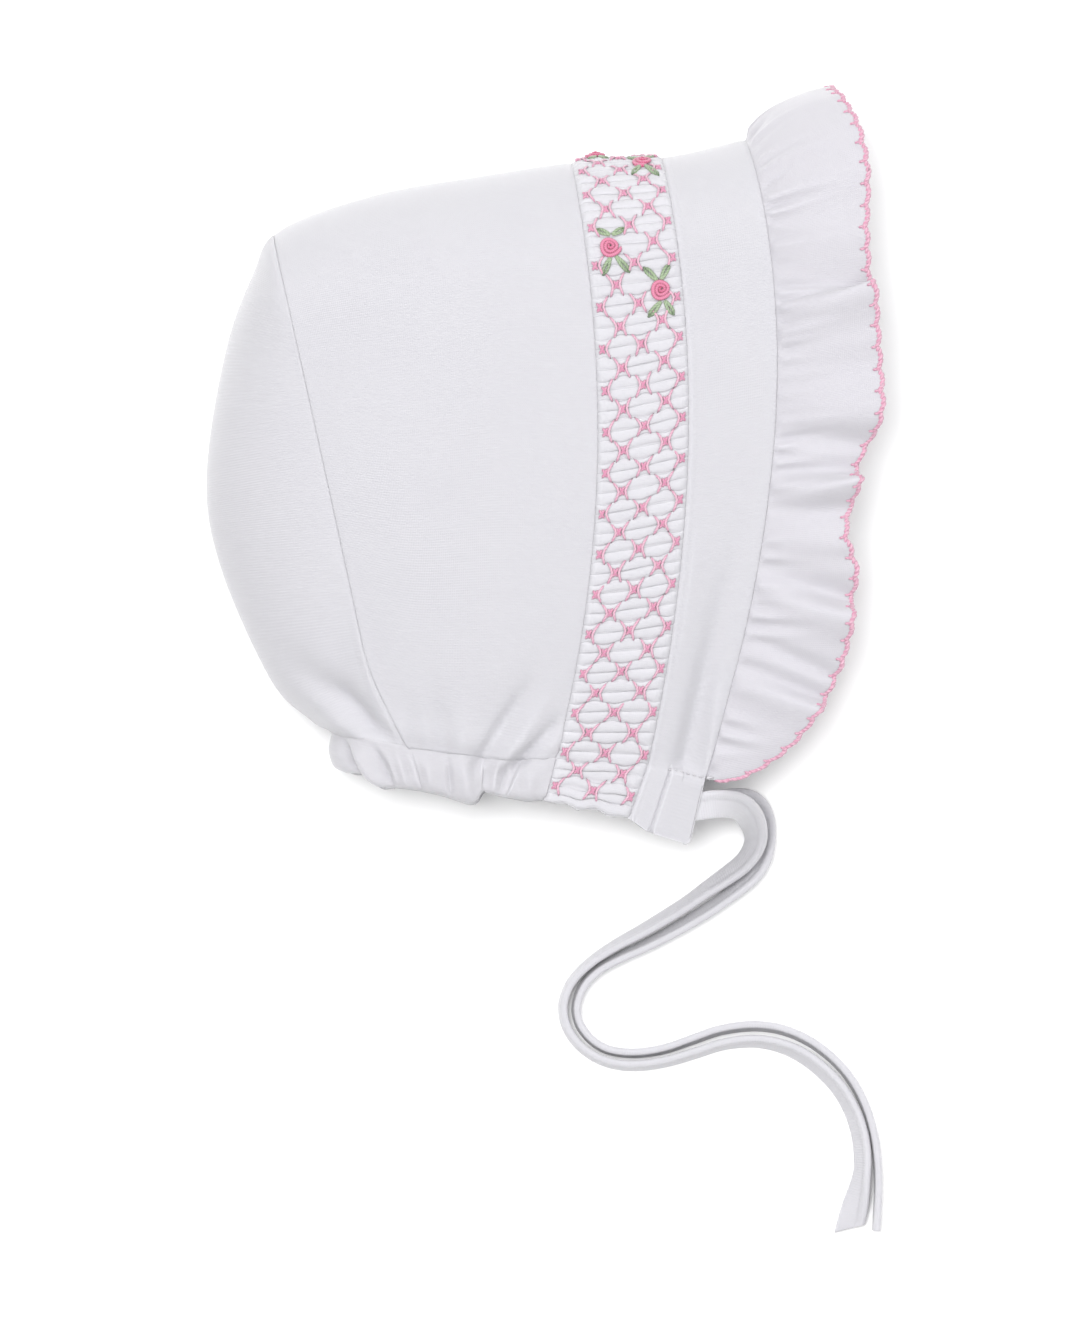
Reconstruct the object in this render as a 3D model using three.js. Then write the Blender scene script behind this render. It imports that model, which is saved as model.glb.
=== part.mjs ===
// A newborn's smocked bonnet in white cotton jersey, lying on its left side with its ties laid out.
// Millimetres. X runs out of the face opening, Y towards the crown, Z up from the surface it lies on.
// While it is drawn, X starts at the back of the head and Y at the hem of the chin corner.

import * as THREE from 'three';
import { mergeVertices } from 'three/addons/utils/BufferGeometryUtils.js';

// Driving dimensions of the head.
const backToSmocking = 87.4;
const smockedWidth = 21.2;
const frontBandWidth = 20.4;
const ruffleWidth = 26;
const bonnetHeight = 167.5;
const casingHeight = 10.1;
const cheekHalfDepth = 33;
const neckHalfDepth = 20;
const crownRound = 26;

// How the bonnet lies: its middle plane is this far above the surface, and cloth below it is pressed flat.
const middleHeight = 24;
const settleRound = 4;

// Cloth.
const clothWall = 1.4;
const smockedWall = 1.5;
const ruffleWall = 1.2;
const casingWall = 2.2;
const pleatPitch = 2.46;
const pleatHeight = 0.7;
const gatherPitch = 5.5;
const gatherHeight = 0.9;
const casingPuff = 1.1;
const seamGap = 0.3;

// Ties.
const tieWidth = 6.7;
const tieThickness = 2;
const tieBevel = 0.7;
const tieSteps = 42;

// Stations from just behind the back seam to the ruffle seam. reach is how far forward the station stands on
// the crown, as a share of the stretch named by from. Heights and leans are shares of bonnetHeight: a lean is
// how far the station's middle or neck stands in front of its crown. hemLean and hemDrop are shares of
// casingHeight, and depth and neck are shares of the two half depths.
const stations = [
  { name: 'behind', from: 'back', reach: 0.070, crown: 0.771, middle: 0.533, neckLine: 0.146,
    middleLean: 0.020, neckLean: 0.120, hemLean: 0.20, hemDrop: 1.00, depth: 0.75, neck: 0.85 },
  { name: 'back seam', from: 'back', reach: 0.181, crown: 0.862, middle: 0.527, neckLine: 0.135,
    middleLean: 0.075, neckLean: 0.159, hemLean: 0.17, hemDrop: 1.00, depth: 0.91, neck: 0.98 },
  { name: 'side back', from: 'back', reach: 0.459, crown: 0.919, middle: 0.513, neckLine: 0.126,
    middleLean: 0.043, neckLean: 0.079, hemLean: 0.05, hemDrop: 1.00, depth: 1.00, neck: 1.00 },
  { name: 'side front', from: 'back', reach: 0.747, crown: 0.948, middle: 0.527, neckLine: 0.116,
    middleLean: 0.036, neckLean: 0.014, hemLean: -0.10, hemDrop: 0.98, depth: 0.99, neck: 0.95 },
  { name: 'smock back', from: 'back', reach: 1.000, crown: 0.966, middle: 0.527, neckLine: 0.113,
    middleLean: 0.036, neckLean: -0.024, hemLean: -0.26, hemDrop: 0.98, depth: 0.96, neck: 0.88 },
  { name: 'smock front', from: 'smocking', reach: 1.000, crown: 0.973, middle: 0.556, neckLine: 0.105,
    middleLean: 0.037, neckLean: -0.020, hemLean: -0.45, hemDrop: 1.26, depth: 0.91, neck: 0.75 },
  { name: 'ruffle seam', from: 'band', reach: 1.000, crown: 1.000, middle: 0.585, neckLine: 0.087,
    middleLean: 0.040, neckLean: -0.059, hemLean: -0.33, hemDrop: 1.40, depth: 0.86, neck: 0.60 },
];
const [backSeam, smockBack, smockFront, ruffleSeam] = ['back seam', 'smock back', 'smock front', 'ruffle seam']
  .map((name) => stations.findIndex((row) => row.name === name));

// The hem lies this share of the crown-to-neck arch beyond the neck line.
const hemShare = 0.075;

// Outline of the back of the head below the crown, down to the nape.
// x is a share of backToSmocking and y of bonnetHeight.
const backOutline = [
  { x: 0.128, y: 0.808 },
  { x: 0.063, y: 0.721 },
  { x: 0.016, y: 0.599 },
  { x: 0.000, y: 0.499 },
  { x: 0.019, y: 0.420 },
  { x: 0.082, y: 0.324 },
  { x: 0.198, y: 0.208 },
  { x: 0.338, y: 0.152 },
];
const napeHemLean = 0.14;
const backFullAngle = 1.5;

// The two panels that meet along the back seam have the same points on it: seamSteps from the crown to the
// neck, closer together near the crown, where the seam turns most. The back panel's top row lies at the first.
const seamSteps = 20;
const seamCrowding = 1.35;
const backTopStep = 1;

// The ruffle stands up from its seam and bends forward again: its angles to the front band at the seam and at
// the edge, in degrees. Folds of the ruffle: at and spread are shares of the crown-to-chin arch, and lift is
// how far the fold turns the ruffle outwards, in degrees on top of its even flare.
const ruffleSeamAngle = 34;
const ruffleEdgeAngle = 2;
const ruffleFolds = [
  { at: 0.06, spread: 0.05, lift: 4 },
  { at: 0.19, spread: 0.05, lift: -9 },
  { at: 0.28, spread: 0.035, lift: 16 },
  { at: 0.39, spread: 0.07, lift: -9 },
  { at: 0.565, spread: 0.035, lift: 20 },
  { at: 0.66, spread: 0.05, lift: 30 },
  { at: 0.76, spread: 0.04, lift: -12 },
  { at: 0.80, spread: 0.025, lift: 14 },
  { at: 0.90, spread: 0.04, lift: -8 },
];
const ruffleTaperStart = 0.82;
const ruffleChinShare = 0.14;

// Gathers of the casing, from the nape (0) to the smocking (1): bumps and the deep fold near the smocking.
const casingFolds = [
  { at: 0.05, spread: 0.06, lift: 0.9 },
  { at: 0.24, spread: 0.05, lift: 0.7 },
  { at: 0.42, spread: 0.05, lift: 0.8 },
  { at: 0.58, spread: 0.07, lift: 0.9 },
  { at: 0.74, spread: 0.04, lift: -0.5 },
  { at: 0.82, spread: 0.05, lift: 1.0 },
  { at: 0.90, spread: 0.02, lift: -0.9 },
];
const casingNapeShare = 0.24;

// Roundness of the shapes. Where the sides draw in to the neck, narrowingPower is how late they do it.
// crownLeadIn is where, in stations past the back seam, the outline of the back starts out.
const narrowingPower = 2.2;
const crownLeadIn = 0.6;
const casingEvenPuff = 0.35;
const casingRoundness = 0.5;
const gatherReach = 0.55;
const foldStart = 0.6;

// Small numbers that keep the shapes apart or smooth: slopeStep and edgeInset are shares of a piece, seamLook
// is in stations, and floorFade is a height.
const slopeStep = 0.002;
const edgeInset = 0.04;
const seamLook = 0.1;
const floorFade = 2;

// Colours.
const whiteJersey = 0xe9e8ec;
const shadedJersey = 0xdddce1;

const clamp = THREE.MathUtils.clamp;
const lerp = THREE.MathUtils.lerp;

// A smooth 0 to 1 ramp, and a smooth bump of height 1 at 0 that has died away one spread off.
function ramp(value) {
  return THREE.MathUtils.smoothstep(value, 0, 1);
}

function bump(distance, spread) {
  return Math.exp(-2 * (distance / spread) ** 2);
}

// Cloth that would sink below the surface is laid flat on it, with a soft turn.
function settle(height) {
  const blend = Math.max(settleRound - Math.abs(height), 0) / settleRound;
  return Math.max(height, 0) + blend * blend * settleRound / 4;
}

// Sizes of one station, worked out once from its row.
function measureStation(row) {
  const crownX = {
    back: backToSmocking * row.reach,
    smocking: backToSmocking + smockedWidth * row.reach,
    band: backToSmocking + smockedWidth + frontBandWidth * row.reach,
  }[row.from];
  const crown = new THREE.Vector2(crownX, bonnetHeight * row.crown);
  const middle = new THREE.Vector2(crownX + bonnetHeight * row.middleLean, bonnetHeight * row.middle);
  const neck = new THREE.Vector2(crownX + bonnetHeight * row.neckLean, bonnetHeight * row.neckLine);
  const hem = new THREE.Vector2(neck.x + casingHeight * row.hemLean, neck.y - casingHeight * row.hemDrop);
  const bow = middle.clone().multiplyScalar(2).sub(crown.clone().add(neck).multiplyScalar(0.5));
  const side = new THREE.QuadraticBezierCurve(crown, bow, neck);
  const depth = cheekHalfDepth * row.depth;
  const neckDepth = neckHalfDepth * row.neck;
  const turn = Math.PI / 2 * Math.sqrt((crownRound ** 2 + depth ** 2) / 2);
  return { side, neck, hem, depth, neckDepth, turn, drop: side.getLength() - crownRound };
}

const measured = stations.map(measureStation);

// Length of a station's arch, from one side's endShare to the other's.
function archLength(station, endShare) {
  const { turn, drop } = measured[station];
  return 2 * (turn + drop) * endShare;
}

// Ends of the arch for a piece that stops at the neck line, and for one that runs on to the hem.
const neckInset = seamGap / archLength(smockBack, 1);
const neckEnd = 1 - neckInset;
const hemEnd = 1 + hemShare;

// How far a place on the arch has come down the side view. share is 0 on the crown and 1 at the neck line.
function sideRun({ turn, drop }, share) {
  const run = Math.min(Math.abs(share), 1) * (turn + drop);
  const angle = Math.min(run / turn, 1) * Math.PI / 2;
  return crownRound * (1 - Math.cos(angle)) + Math.max(run - turn, 0);
}

// A point of one station's arch. Beyond 1 the share goes on to the hem, and it is negative on the side that
// lies down.
function archPoint(station, share) {
  const { side, neck, hem, depth, neckDepth, turn, drop } = station;
  const size = Math.abs(share);
  const point = side.getPoint(sideRun(station, share) / (crownRound + drop));
  if (size > 1) {
    point.lerpVectors(neck, hem, (size - 1) / hemShare);
  }
  const run = Math.min(size, 1) * (turn + drop);
  const narrowing = (depth - neckDepth) * (Math.max(run - turn, 0) / drop) ** narrowingPower;
  const out = depth * Math.sin(Math.min(run / turn, 1) * Math.PI / 2) - narrowing;
  return new THREE.Vector3(point.x, point.y, Math.sign(share) * out);
}

// The head's outer skin before it settles. place counts stations and runs between them.
function headSkin(share, place) {
  const curve = new THREE.CatmullRomCurve3(measured.map((station) => archPoint(station, share)));
  curve.curveType = 'catmullrom';
  return curve.getPoint(place / (stations.length - 1));
}

function lay(point) {
  point.z = settle(point.z + middleHeight);
  return point;
}

// The back of the head: rows go round it from seam to seam. share runs down the back seam, and
// across runs from the seam that lies down (-1) over the outline (0) to the seam that shows (1).
const backStep = headSkin(0.5, backSeam).distanceTo(headSkin(0.5, backSeam + 1));
const backEdge = backSeam - seamGap / 2 / backStep;

// The place on the arch of a step along the seam, negative on the side that lies down.
function seamShare(step) {
  return neckEnd * Math.sign(step) * (Math.abs(step) / seamSteps) ** seamCrowding;
}

const backCurve = new THREE.CatmullRomCurve3([
  headSkin(0, backSeam + crownLeadIn),
  headSkin(0, backEdge),
  ...backOutline.map(({ x, y }) => new THREE.Vector3(backToSmocking * x, bonnetHeight * y, 0)),
]);
backCurve.curveType = 'catmullrom';

function backOutlinePoint(down) {
  const spans = backOutline.length + 1;
  const point = backCurve.getPoint((1 + Math.min(down, 1) * (spans - 1)) / spans);
  const beyond = Math.max(down - 1, 0);
  point.x += beyond * napeHemLean * casingHeight;
  point.y -= beyond * casingHeight;
  return point;
}

function backSkin(share, across) {
  const top = sideRun(measured[backSeam], seamShare(backTopStep));
  const here = (sideRun(measured[backSeam], share) - top) / (sideRun(measured[backSeam], 1) - top);
  const edge = headSkin(share, backEdge);
  const angle = Math.abs(across) * backFullAngle;
  const middle = backOutlinePoint(here + Math.max(share - 1, 0) / hemShare);
  const point = middle.lerp(edge, (1 - Math.cos(angle)) / (1 - Math.cos(backFullAngle)));
  point.z = Math.sign(across) * edge.z * Math.sin(angle) / Math.sin(backFullAngle);
  return point;
}

// Directions are taken a little inside a piece's edges, where a skin may come to a corner.
function inside(value) {
  return clamp(value, edgeInset, 1 - edgeInset);
}

// Outward direction of a skin at u, v, from short steps.
function outward(skin, u, v) {
  const alongU = skin(Math.min(u + slopeStep, 1), v).sub(skin(Math.max(u - slopeStep, 0), v));
  const alongV = skin(u, Math.min(v + slopeStep, 1)).sub(skin(u, Math.max(v - slopeStep, 0)));
  return alongU.cross(alongV).normalize();
}

// One piece of cloth: a lattice laid on a skin, with a wall inwards. relief raises it, and where follow is 1
// the inner face rises with it. Relief dies away where the cloth lies on the surface. seam may give the
// direction of the wall along a seam.
function clothPiece({ name, color, columns, rows, skin, wall, relief = () => 0, follow = 0, seam = () => null }) {
  const geometry = new THREE.BoxGeometry(1, 1, 1, columns, rows, 1);
  geometry.deleteAttribute('normal');
  geometry.deleteAttribute('uv');
  const merged = mergeVertices(geometry, 1e-5);
  const places = merged.attributes.position;
  for (let index = 0; index < places.count; index += 1) {
    const u = clamp(places.getX(index) + 0.5, 0, 1);
    const v = clamp(places.getY(index) + 0.5, 0, 1);
    const outer = places.getZ(index) > 0;
    const point = skin(u, v);
    const normal = seam(u, v) ?? outward(skin, inside(u), inside(v));
    const raise = relief(u, v) * clamp(point.z / floorFade, 0, 1);
    point.addScaledVector(normal, outer ? raise : raise * follow - wall);
    places.setXYZ(index, point.x, point.y, point.z);
  }
  merged.computeVertexNormals();
  const cloth = new THREE.MeshStandardMaterial({ color, roughness: 0.9, metalness: 0 });
  const mesh = new THREE.Mesh(merged, cloth);
  mesh.name = name;
  return mesh;
}

// v from 0 to 1 between two edges, kept half a seam gap away from both.
function insideSeams(v, first, last) {
  const inset = seamGap / 2 / first.distanceTo(last);
  return lerp(inset, 1 - inset, v);
}

// A skin between two stations. shareAt gives the place on the arch for u.
function bandSkin(from, to, shareAt) {
  return (u, v) => {
    const share = shareAt(u);
    const across = insideSeams(v, headSkin(share, from), headSkin(share, to));
    return lay(headSkin(share, lerp(from, to, across)));
  };
}

function hemToHem(u) {
  return lerp(-hemEnd, hemEnd, u);
}

const crownSkin = bandSkin(backSeam, smockBack, (u) => seamShare(lerp(-seamSteps, seamSteps, u)));

function backPanelSkin(u, v) {
  return lay(backSkin(seamShare(lerp(seamSteps, backTopStep, v)), lerp(-1, 1, u)));
}

// Along the back seam the walls of both panels point the same way, so that their inner edges stay apart.
function backSeamWall(step) {
  const size = Math.abs(step);
  const ahead = outward(crownSkin, inside((step / seamSteps + 1) / 2), edgeInset);
  const u = inside((step / Math.max(size, backTopStep) + 1) / 2);
  const v = inside((seamSteps - size) / (seamSteps - backTopStep));
  return ahead.add(outward(backPanelSkin, u, v)).normalize();
}

const crownPanel = clothPiece({
  name: 'crown_panel', color: whiteJersey, columns: 2 * seamSteps, rows: 8, wall: clothWall, skin: crownSkin,
  seam: (u, v) => (v === 0 ? backSeamWall(lerp(-seamSteps, seamSteps, u)) : null),
});

// The pleats of the smocking: a ridge and a valley each, across the band.
const pleats = Math.round(archLength(smockFront, hemEnd) / pleatPitch);

const smockedBand = clothPiece({
  name: 'smocked_band', color: whiteJersey, columns: 2 * pleats, rows: 2, wall: smockedWall,
  skin: bandSkin(smockBack, smockFront, hemToHem),
  relief: (u) => (Math.round(u * 2 * pleats) % 2) * pleatHeight,
});

const frontBand = clothPiece({
  name: 'front_band', color: whiteJersey, columns: 56, rows: 3, wall: clothWall,
  skin: bandSkin(smockFront, ruffleSeam, hemToHem),
});

const backPanel = clothPiece({
  name: 'back_panel', color: whiteJersey, columns: 16, rows: seamSteps - backTopStep, wall: clothWall,
  skin: backPanelSkin,
  seam: (u, v) => {
    const across = lerp(-1, 1, u);
    if (v === 1) {
      const aside = Math.sin(Math.abs(across) * backFullAngle) / Math.sin(backFullAngle);
      return backSeamWall(0).lerp(backSeamWall(Math.sign(across) * backTopStep), aside).normalize();
    }
    return Math.abs(across) === 1 ? backSeamWall(across * lerp(seamSteps, backTopStep, v)) : null;
  },
});

// The casing: u runs round the neck from the smocking that lies down to the smocking that shows.
function casingSkin(u, v) {
  const around = lerp(-1, 1, u);
  const share = lerp(hemEnd, 1 + neckInset, v);
  const size = Math.abs(around);
  if (size < casingNapeShare) {
    return lay(backSkin(share, around / casingNapeShare));
  }
  const last = smockBack - seamGap / 2 / smockedWidth;
  const place = lerp(backEdge, last, (size - casingNapeShare) / (1 - casingNapeShare));
  return lay(headSkin(Math.sign(around) * share, place));
}

function casingRelief(u, v) {
  const size = Math.abs(lerp(-1, 1, u));
  const folds = casingFolds.reduce((sum, fold) => sum + fold.lift * bump(size - fold.at, fold.spread), 0);
  return casingPuff * (casingEvenPuff + folds) * Math.sin(Math.PI * clamp(v, 0, 1)) ** casingRoundness;
}

const napeCasing = clothPiece({
  name: 'nape_casing', color: shadedJersey, columns: 76, rows: 3, wall: casingWall,
  skin: casingSkin, relief: casingRelief,
});

// The ruffle goes on from the front band, turns outwards and waves. u runs along the seam and v to the edge.
const gathers = Math.round(archLength(ruffleSeam, 1) / gatherPitch);
const ruffleRows = [0, 0.16, 0.48, 1];

// The strip's two ends are cut round, down to a short end at the chin.
function ruffleReach(size) {
  const along = clamp((size - ruffleTaperStart) / (1 - ruffleTaperStart), 0, 1);
  return ruffleWidth * Math.max(Math.sqrt(1 - along ** 2), ruffleChinShare);
}

function ruffleTilt(size, v) {
  const folds = ruffleFolds.reduce((sum, fold) => sum + fold.lift * bump(size - fold.at, fold.spread), 0);
  const bend = ruffleSeamAngle + (ruffleEdgeAngle - ruffleSeamAngle) * v / 2;
  return THREE.MathUtils.degToRad(bend + folds * v ** foldStart);
}

function ruffleSkin(u, v) {
  const share = lerp(-1, 1, u);
  const size = Math.abs(share);
  const seam = headSkin(share, ruffleSeam);
  const behind = headSkin(share, ruffleSeam - seamLook);
  const forward = seam.clone().sub(behind).normalize();
  const along = headSkin(share + slopeStep, ruffleSeam).sub(headSkin(share - slopeStep, ruffleSeam));
  const out = along.cross(forward).normalize();
  const reach = ruffleReach(size);
  const tilt = ruffleTilt(size, v);
  const point = seam.addScaledVector(forward, seamGap / 2 + reach * v * Math.cos(tilt));
  return lay(point.addScaledVector(out, reach * v * Math.sin(tilt)));
}

const ruffle = clothPiece({
  name: 'ruffle', color: whiteJersey, columns: 2 * gathers, rows: 3, wall: ruffleWall, follow: 1,
  skin: (u, v) => ruffleSkin(u, interpolateRow(v)),
  relief: (u, v) => {
    const fade = Math.sin(Math.PI * clamp(interpolateRow(v) / gatherReach, 0, 1));
    return (Math.round(u * 2 * gathers) % 2 - 0.5) * gatherHeight * fade;
  },
});

function interpolateRow(v) {
  const place = clamp(v, 0, 1) * (ruffleRows.length - 1);
  const row = Math.min(Math.floor(place), ruffleRows.length - 2);
  return lerp(ruffleRows[row], ruffleRows[row + 1], place - row);
}

// Routes of the ties, chosen point by point: x and y as the rest is drawn, z the height of the middle of the
// tie above the surface.
const tieRightRoute = [
  [118.6, 8.0, 35.2], [120.8, 8.3, 34.6], [123.4, 8.4, 32.6], [126.2, 8.0, 29.0], [128.8, 6.6, 23.8],
  [130.5, 4.0, 18.0], [131.2, 0.7, 12.6], [130.6, -2.6, 8.6], [128.4, -6.0, 5.6], [125.0, -8.8, 4.0],
  [120.0, -12.2, 3.5], [115.2, -15.6, 3.5], [109.7, -19.1, 3.5], [103.9, -22.5, 3.5], [97.8, -25.8, 3.5],
  [92.3, -29.4, 3.5], [88.1, -33.3, 3.5], [85.8, -37.2, 3.5], [85.0, -41.4, 3.5], [86.0, -45.8, 3.5],
  [88.9, -50.0, 3.5], [93.4, -53.2, 3.5], [98.7, -54.8, 3.5], [104.4, -54.9, 3.5], [110.5, -53.9, 3.5],
  [117.0, -52.0, 3.5], [123.7, -49.9, 3.5], [130.5, -49.1, 3.5], [136.6, -49.9, 3.5], [142.2, -52.2, 3.5],
  [147.3, -55.9, 3.5], [151.6, -60.5, 3.5], [154.8, -66.1, 3.5], [156.7, -72.3, 3.5], [157.2, -79.0, 3.4],
  [156.3, -85.6, 2.8], [154.2, -94.1, 1.4],
];
const tieLeftRoute = [
  [118.6, 8.0, 12.8], [120.9, 8.1, 12.0], [123.8, 8.4, 9.8], [127.0, 8.7, 7.0], [130.0, 8.3, 4.8],
  [132.1, 6.5, 3.8], [133.1, 3.5, 3.5], [133.3, -0.5, 3.5], [132.7, -4.6, 3.5], [130.9, -8.4, 3.5],
  [127.4, -12.0, 3.5], [122.2, -15.9, 3.5], [116.4, -19.6, 3.5], [110.5, -23.0, 3.5], [104.7, -26.0, 3.5],
  [99.1, -28.6, 3.5], [94.4, -31.2, 3.5], [90.9, -34.3, 3.5], [88.9, -37.8, 3.5], [88.2, -41.4, 3.5],
  [89.1, -45.2, 3.5], [91.7, -48.6, 3.5], [95.2, -50.9, 3.5], [99.5, -51.9, 3.5], [104.4, -51.9, 3.5],
  [110.0, -50.9, 3.5], [116.2, -48.8, 3.5], [123.0, -46.5, 3.5], [130.5, -45.5, 3.5], [137.2, -46.2, 3.5],
  [143.4, -48.6, 3.5], [148.9, -52.4, 3.5], [153.6, -57.3, 3.5], [157.1, -63.2, 3.5], [159.4, -69.8, 3.5],
  [160.6, -77.0, 3.5], [160.9, -84.7, 3.5], [160.4, -94.6, 3.5],
];

// How far a tie leans, from lying flat (0) to standing on its edge (90), along its length.
const tieRightLean = [
  { at: 0.00, lean: 0 }, { at: 0.10, lean: 10 }, { at: 0.20, lean: 52 }, { at: 0.28, lean: 66 },
  { at: 0.44, lean: 80 }, { at: 0.66, lean: 74 }, { at: 0.82, lean: 62 }, { at: 0.93, lean: 58 },
  { at: 1.00, lean: 6 },
];
const tieLeftLean = [
  { at: 0.00, lean: 0 }, { at: 0.10, lean: 20 }, { at: 0.22, lean: 66 }, { at: 0.44, lean: 80 },
  { at: 0.66, lean: 76 }, { at: 1.00, lean: 84 },
];

function leanAt(table, share) {
  const next = clamp(table.findIndex((row) => row.at >= share), 1, table.length - 1);
  const [low, high] = [table[next - 1], table[next]];
  return THREE.MathUtils.degToRad(lerp(low.lean, high.lean, ramp((share - low.at) / (high.at - low.at))));
}

// A flat tie with bevelled edges, drawn straight along Z and then bent along its route and leant.
function tieSection() {
  const [edge, face] = [tieWidth / 2, tieThickness / 2];
  const corners = [[edge, -face / 2], [edge, face / 2], [edge - tieBevel, face], [tieBevel - edge, face],
    [-edge, face / 2], [-edge, -face / 2], [tieBevel - edge, -face], [edge - tieBevel, -face]];
  return new THREE.Shape(corners.map(([x, y]) => new THREE.Vector2(x, y)));
}

function tie(name, route, leans) {
  const geometry = new THREE.ExtrudeGeometry(tieSection(), { depth: 1, steps: tieSteps, bevelEnabled: false });
  geometry.deleteAttribute('normal');
  geometry.deleteAttribute('uv');
  const merged = mergeVertices(geometry, 1e-5);
  const curve = new THREE.CatmullRomCurve3(route.map((point) => new THREE.Vector3(...point)));
  const places = merged.attributes.position;
  const up = new THREE.Vector3(0, 0, 1);
  for (let index = 0; index < places.count; index += 1) {
    const share = clamp(places.getZ(index), 0, 1);
    const heading = curve.getTangentAt(share);
    const side = up.clone().cross(heading).normalize();
    const face = heading.clone().cross(side);
    const lean = leanAt(leans, share);
    const across = side.clone().multiplyScalar(Math.cos(lean)).addScaledVector(face, Math.sin(lean));
    const through = face.multiplyScalar(Math.cos(lean)).addScaledVector(side, -Math.sin(lean));
    const point = curve.getPointAt(share);
    point.addScaledVector(across, places.getX(index)).addScaledVector(through, places.getY(index));
    places.setXYZ(index, point.x, point.y, point.z);
  }
  const cloth = new THREE.MeshStandardMaterial({ color: shadedJersey, roughness: 0.9, metalness: 0 });
  const mesh = new THREE.Mesh(merged, cloth);
  mesh.name = name;
  return mesh;
}

// Everything is shifted so that the bonnet without its ties stands on the origin, centred in X and Y.
const bonnet = new THREE.Group();
bonnet.add(backPanel, crownPanel, smockedBand, frontBand, ruffle, napeCasing);
const box = new THREE.Box3().setFromObject(bonnet);
const centre = box.getCenter(new THREE.Vector3());

const group = new THREE.Group();
group.add(bonnet);
group.add(tie('tie_right', tieRightRoute, tieRightLean));
group.add(tie('tie_left', tieLeftRoute, tieLeftLean));
group.position.set(-centre.x, -centre.y, -box.min.z);

export default group;
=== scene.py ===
# %% [markdown]
# # A newborn's smocked bonnet
# The bonnet is white cotton jersey. It lies on its left side, crown up and face opening to the right, with
# its two ties laid out below it, and the camera looks straight down on it as in the photo. A CAD model of it
# is already packed. This script loads that model as a frame, makes one finer piece for each of its solids,
# and then adds what is only stitched on: smocking thread, roses, leaves, the shell edging and seam stitches.
# Sizes are in millimetres while a piece is drawn, and every Blender mesh is in metres.

# %% Load the frame and keep its box
from math import pi, radians, tau

import bmesh
import bpy
import numpy as np
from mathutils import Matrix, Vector


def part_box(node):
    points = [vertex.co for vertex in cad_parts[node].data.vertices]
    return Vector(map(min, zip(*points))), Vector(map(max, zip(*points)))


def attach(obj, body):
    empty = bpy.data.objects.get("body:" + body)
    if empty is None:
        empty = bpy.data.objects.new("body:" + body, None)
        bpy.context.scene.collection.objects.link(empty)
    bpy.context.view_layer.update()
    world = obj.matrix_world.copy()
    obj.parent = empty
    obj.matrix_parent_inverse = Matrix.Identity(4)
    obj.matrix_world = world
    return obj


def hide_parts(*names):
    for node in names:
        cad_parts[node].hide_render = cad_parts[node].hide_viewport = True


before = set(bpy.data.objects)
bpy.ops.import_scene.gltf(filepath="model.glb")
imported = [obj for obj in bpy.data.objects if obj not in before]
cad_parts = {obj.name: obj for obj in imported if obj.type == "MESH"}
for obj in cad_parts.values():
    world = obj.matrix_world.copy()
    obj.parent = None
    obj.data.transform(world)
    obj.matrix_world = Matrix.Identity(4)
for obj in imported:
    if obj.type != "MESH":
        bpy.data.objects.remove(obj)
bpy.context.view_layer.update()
MM = 0.001

# %% [markdown]
# ## The camera
# The photo was taken from straight above and from far off, so near and far parts keep one scale. One photo
# pixel is 0.24 mm at the height of the bonnet's middle. A long lens 4 m up gives the same flat look.

# %% The camera
PHOTO_WIDE, PHOTO_HIGH = 1080, 1319
PIXEL = 0.24
PHOTO_CENTRE = (-1.2, -47.9)
CAMERA_HEIGHT, CAMERA_SEES_TO = 4.0, 20
TRUE_SCALE_HEIGHT = 15

camera_data = bpy.data.cameras.new("camera")
distance = CAMERA_HEIGHT - TRUE_SCALE_HEIGHT * MM
camera_data.lens = camera_data.sensor_width * distance / (PHOTO_HIGH * PIXEL * MM)
camera_data.clip_end = CAMERA_SEES_TO
camera = bpy.data.objects.new("camera", camera_data)
camera.location = (PHOTO_CENTRE[0] * MM, PHOTO_CENTRE[1] * MM, CAMERA_HEIGHT)
bpy.context.scene.collection.objects.link(camera)
bpy.context.scene.camera = camera
print("lens in mm:", round(camera_data.lens))

# %% [markdown]
# ## The shape of the head
# All the panels lie on one smooth skin. Seven stations stand between the back of the head and the ruffle's
# seam. Each is an arch over the head, and a smooth curve runs through them all, so any point of the skin has
# two numbers: its share of the arch, from -1 at the neck on the side that lies down over 0 on the crown to
# 1, and its place among the stations. NumPy works out all the points of a piece at once.

# %% Sizes of the head
BACK_TO_SMOCKING, SMOCKED_WIDTH, BAND_WIDTH, RUFFLE_WIDTH = 87.4, 21.2, 20.4, 26
BONNET_HEIGHT, CASING_HEIGHT = 167.5, 10.1
CHEEK_DEPTH, NECK_DEPTH, CROWN_ROUND = 33, 20, 26
MIDDLE_HEIGHT, SETTLE_ROUND = 24, 4
HEM_SHARE = 0.075
NARROWING_POWER = 2.2

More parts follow.
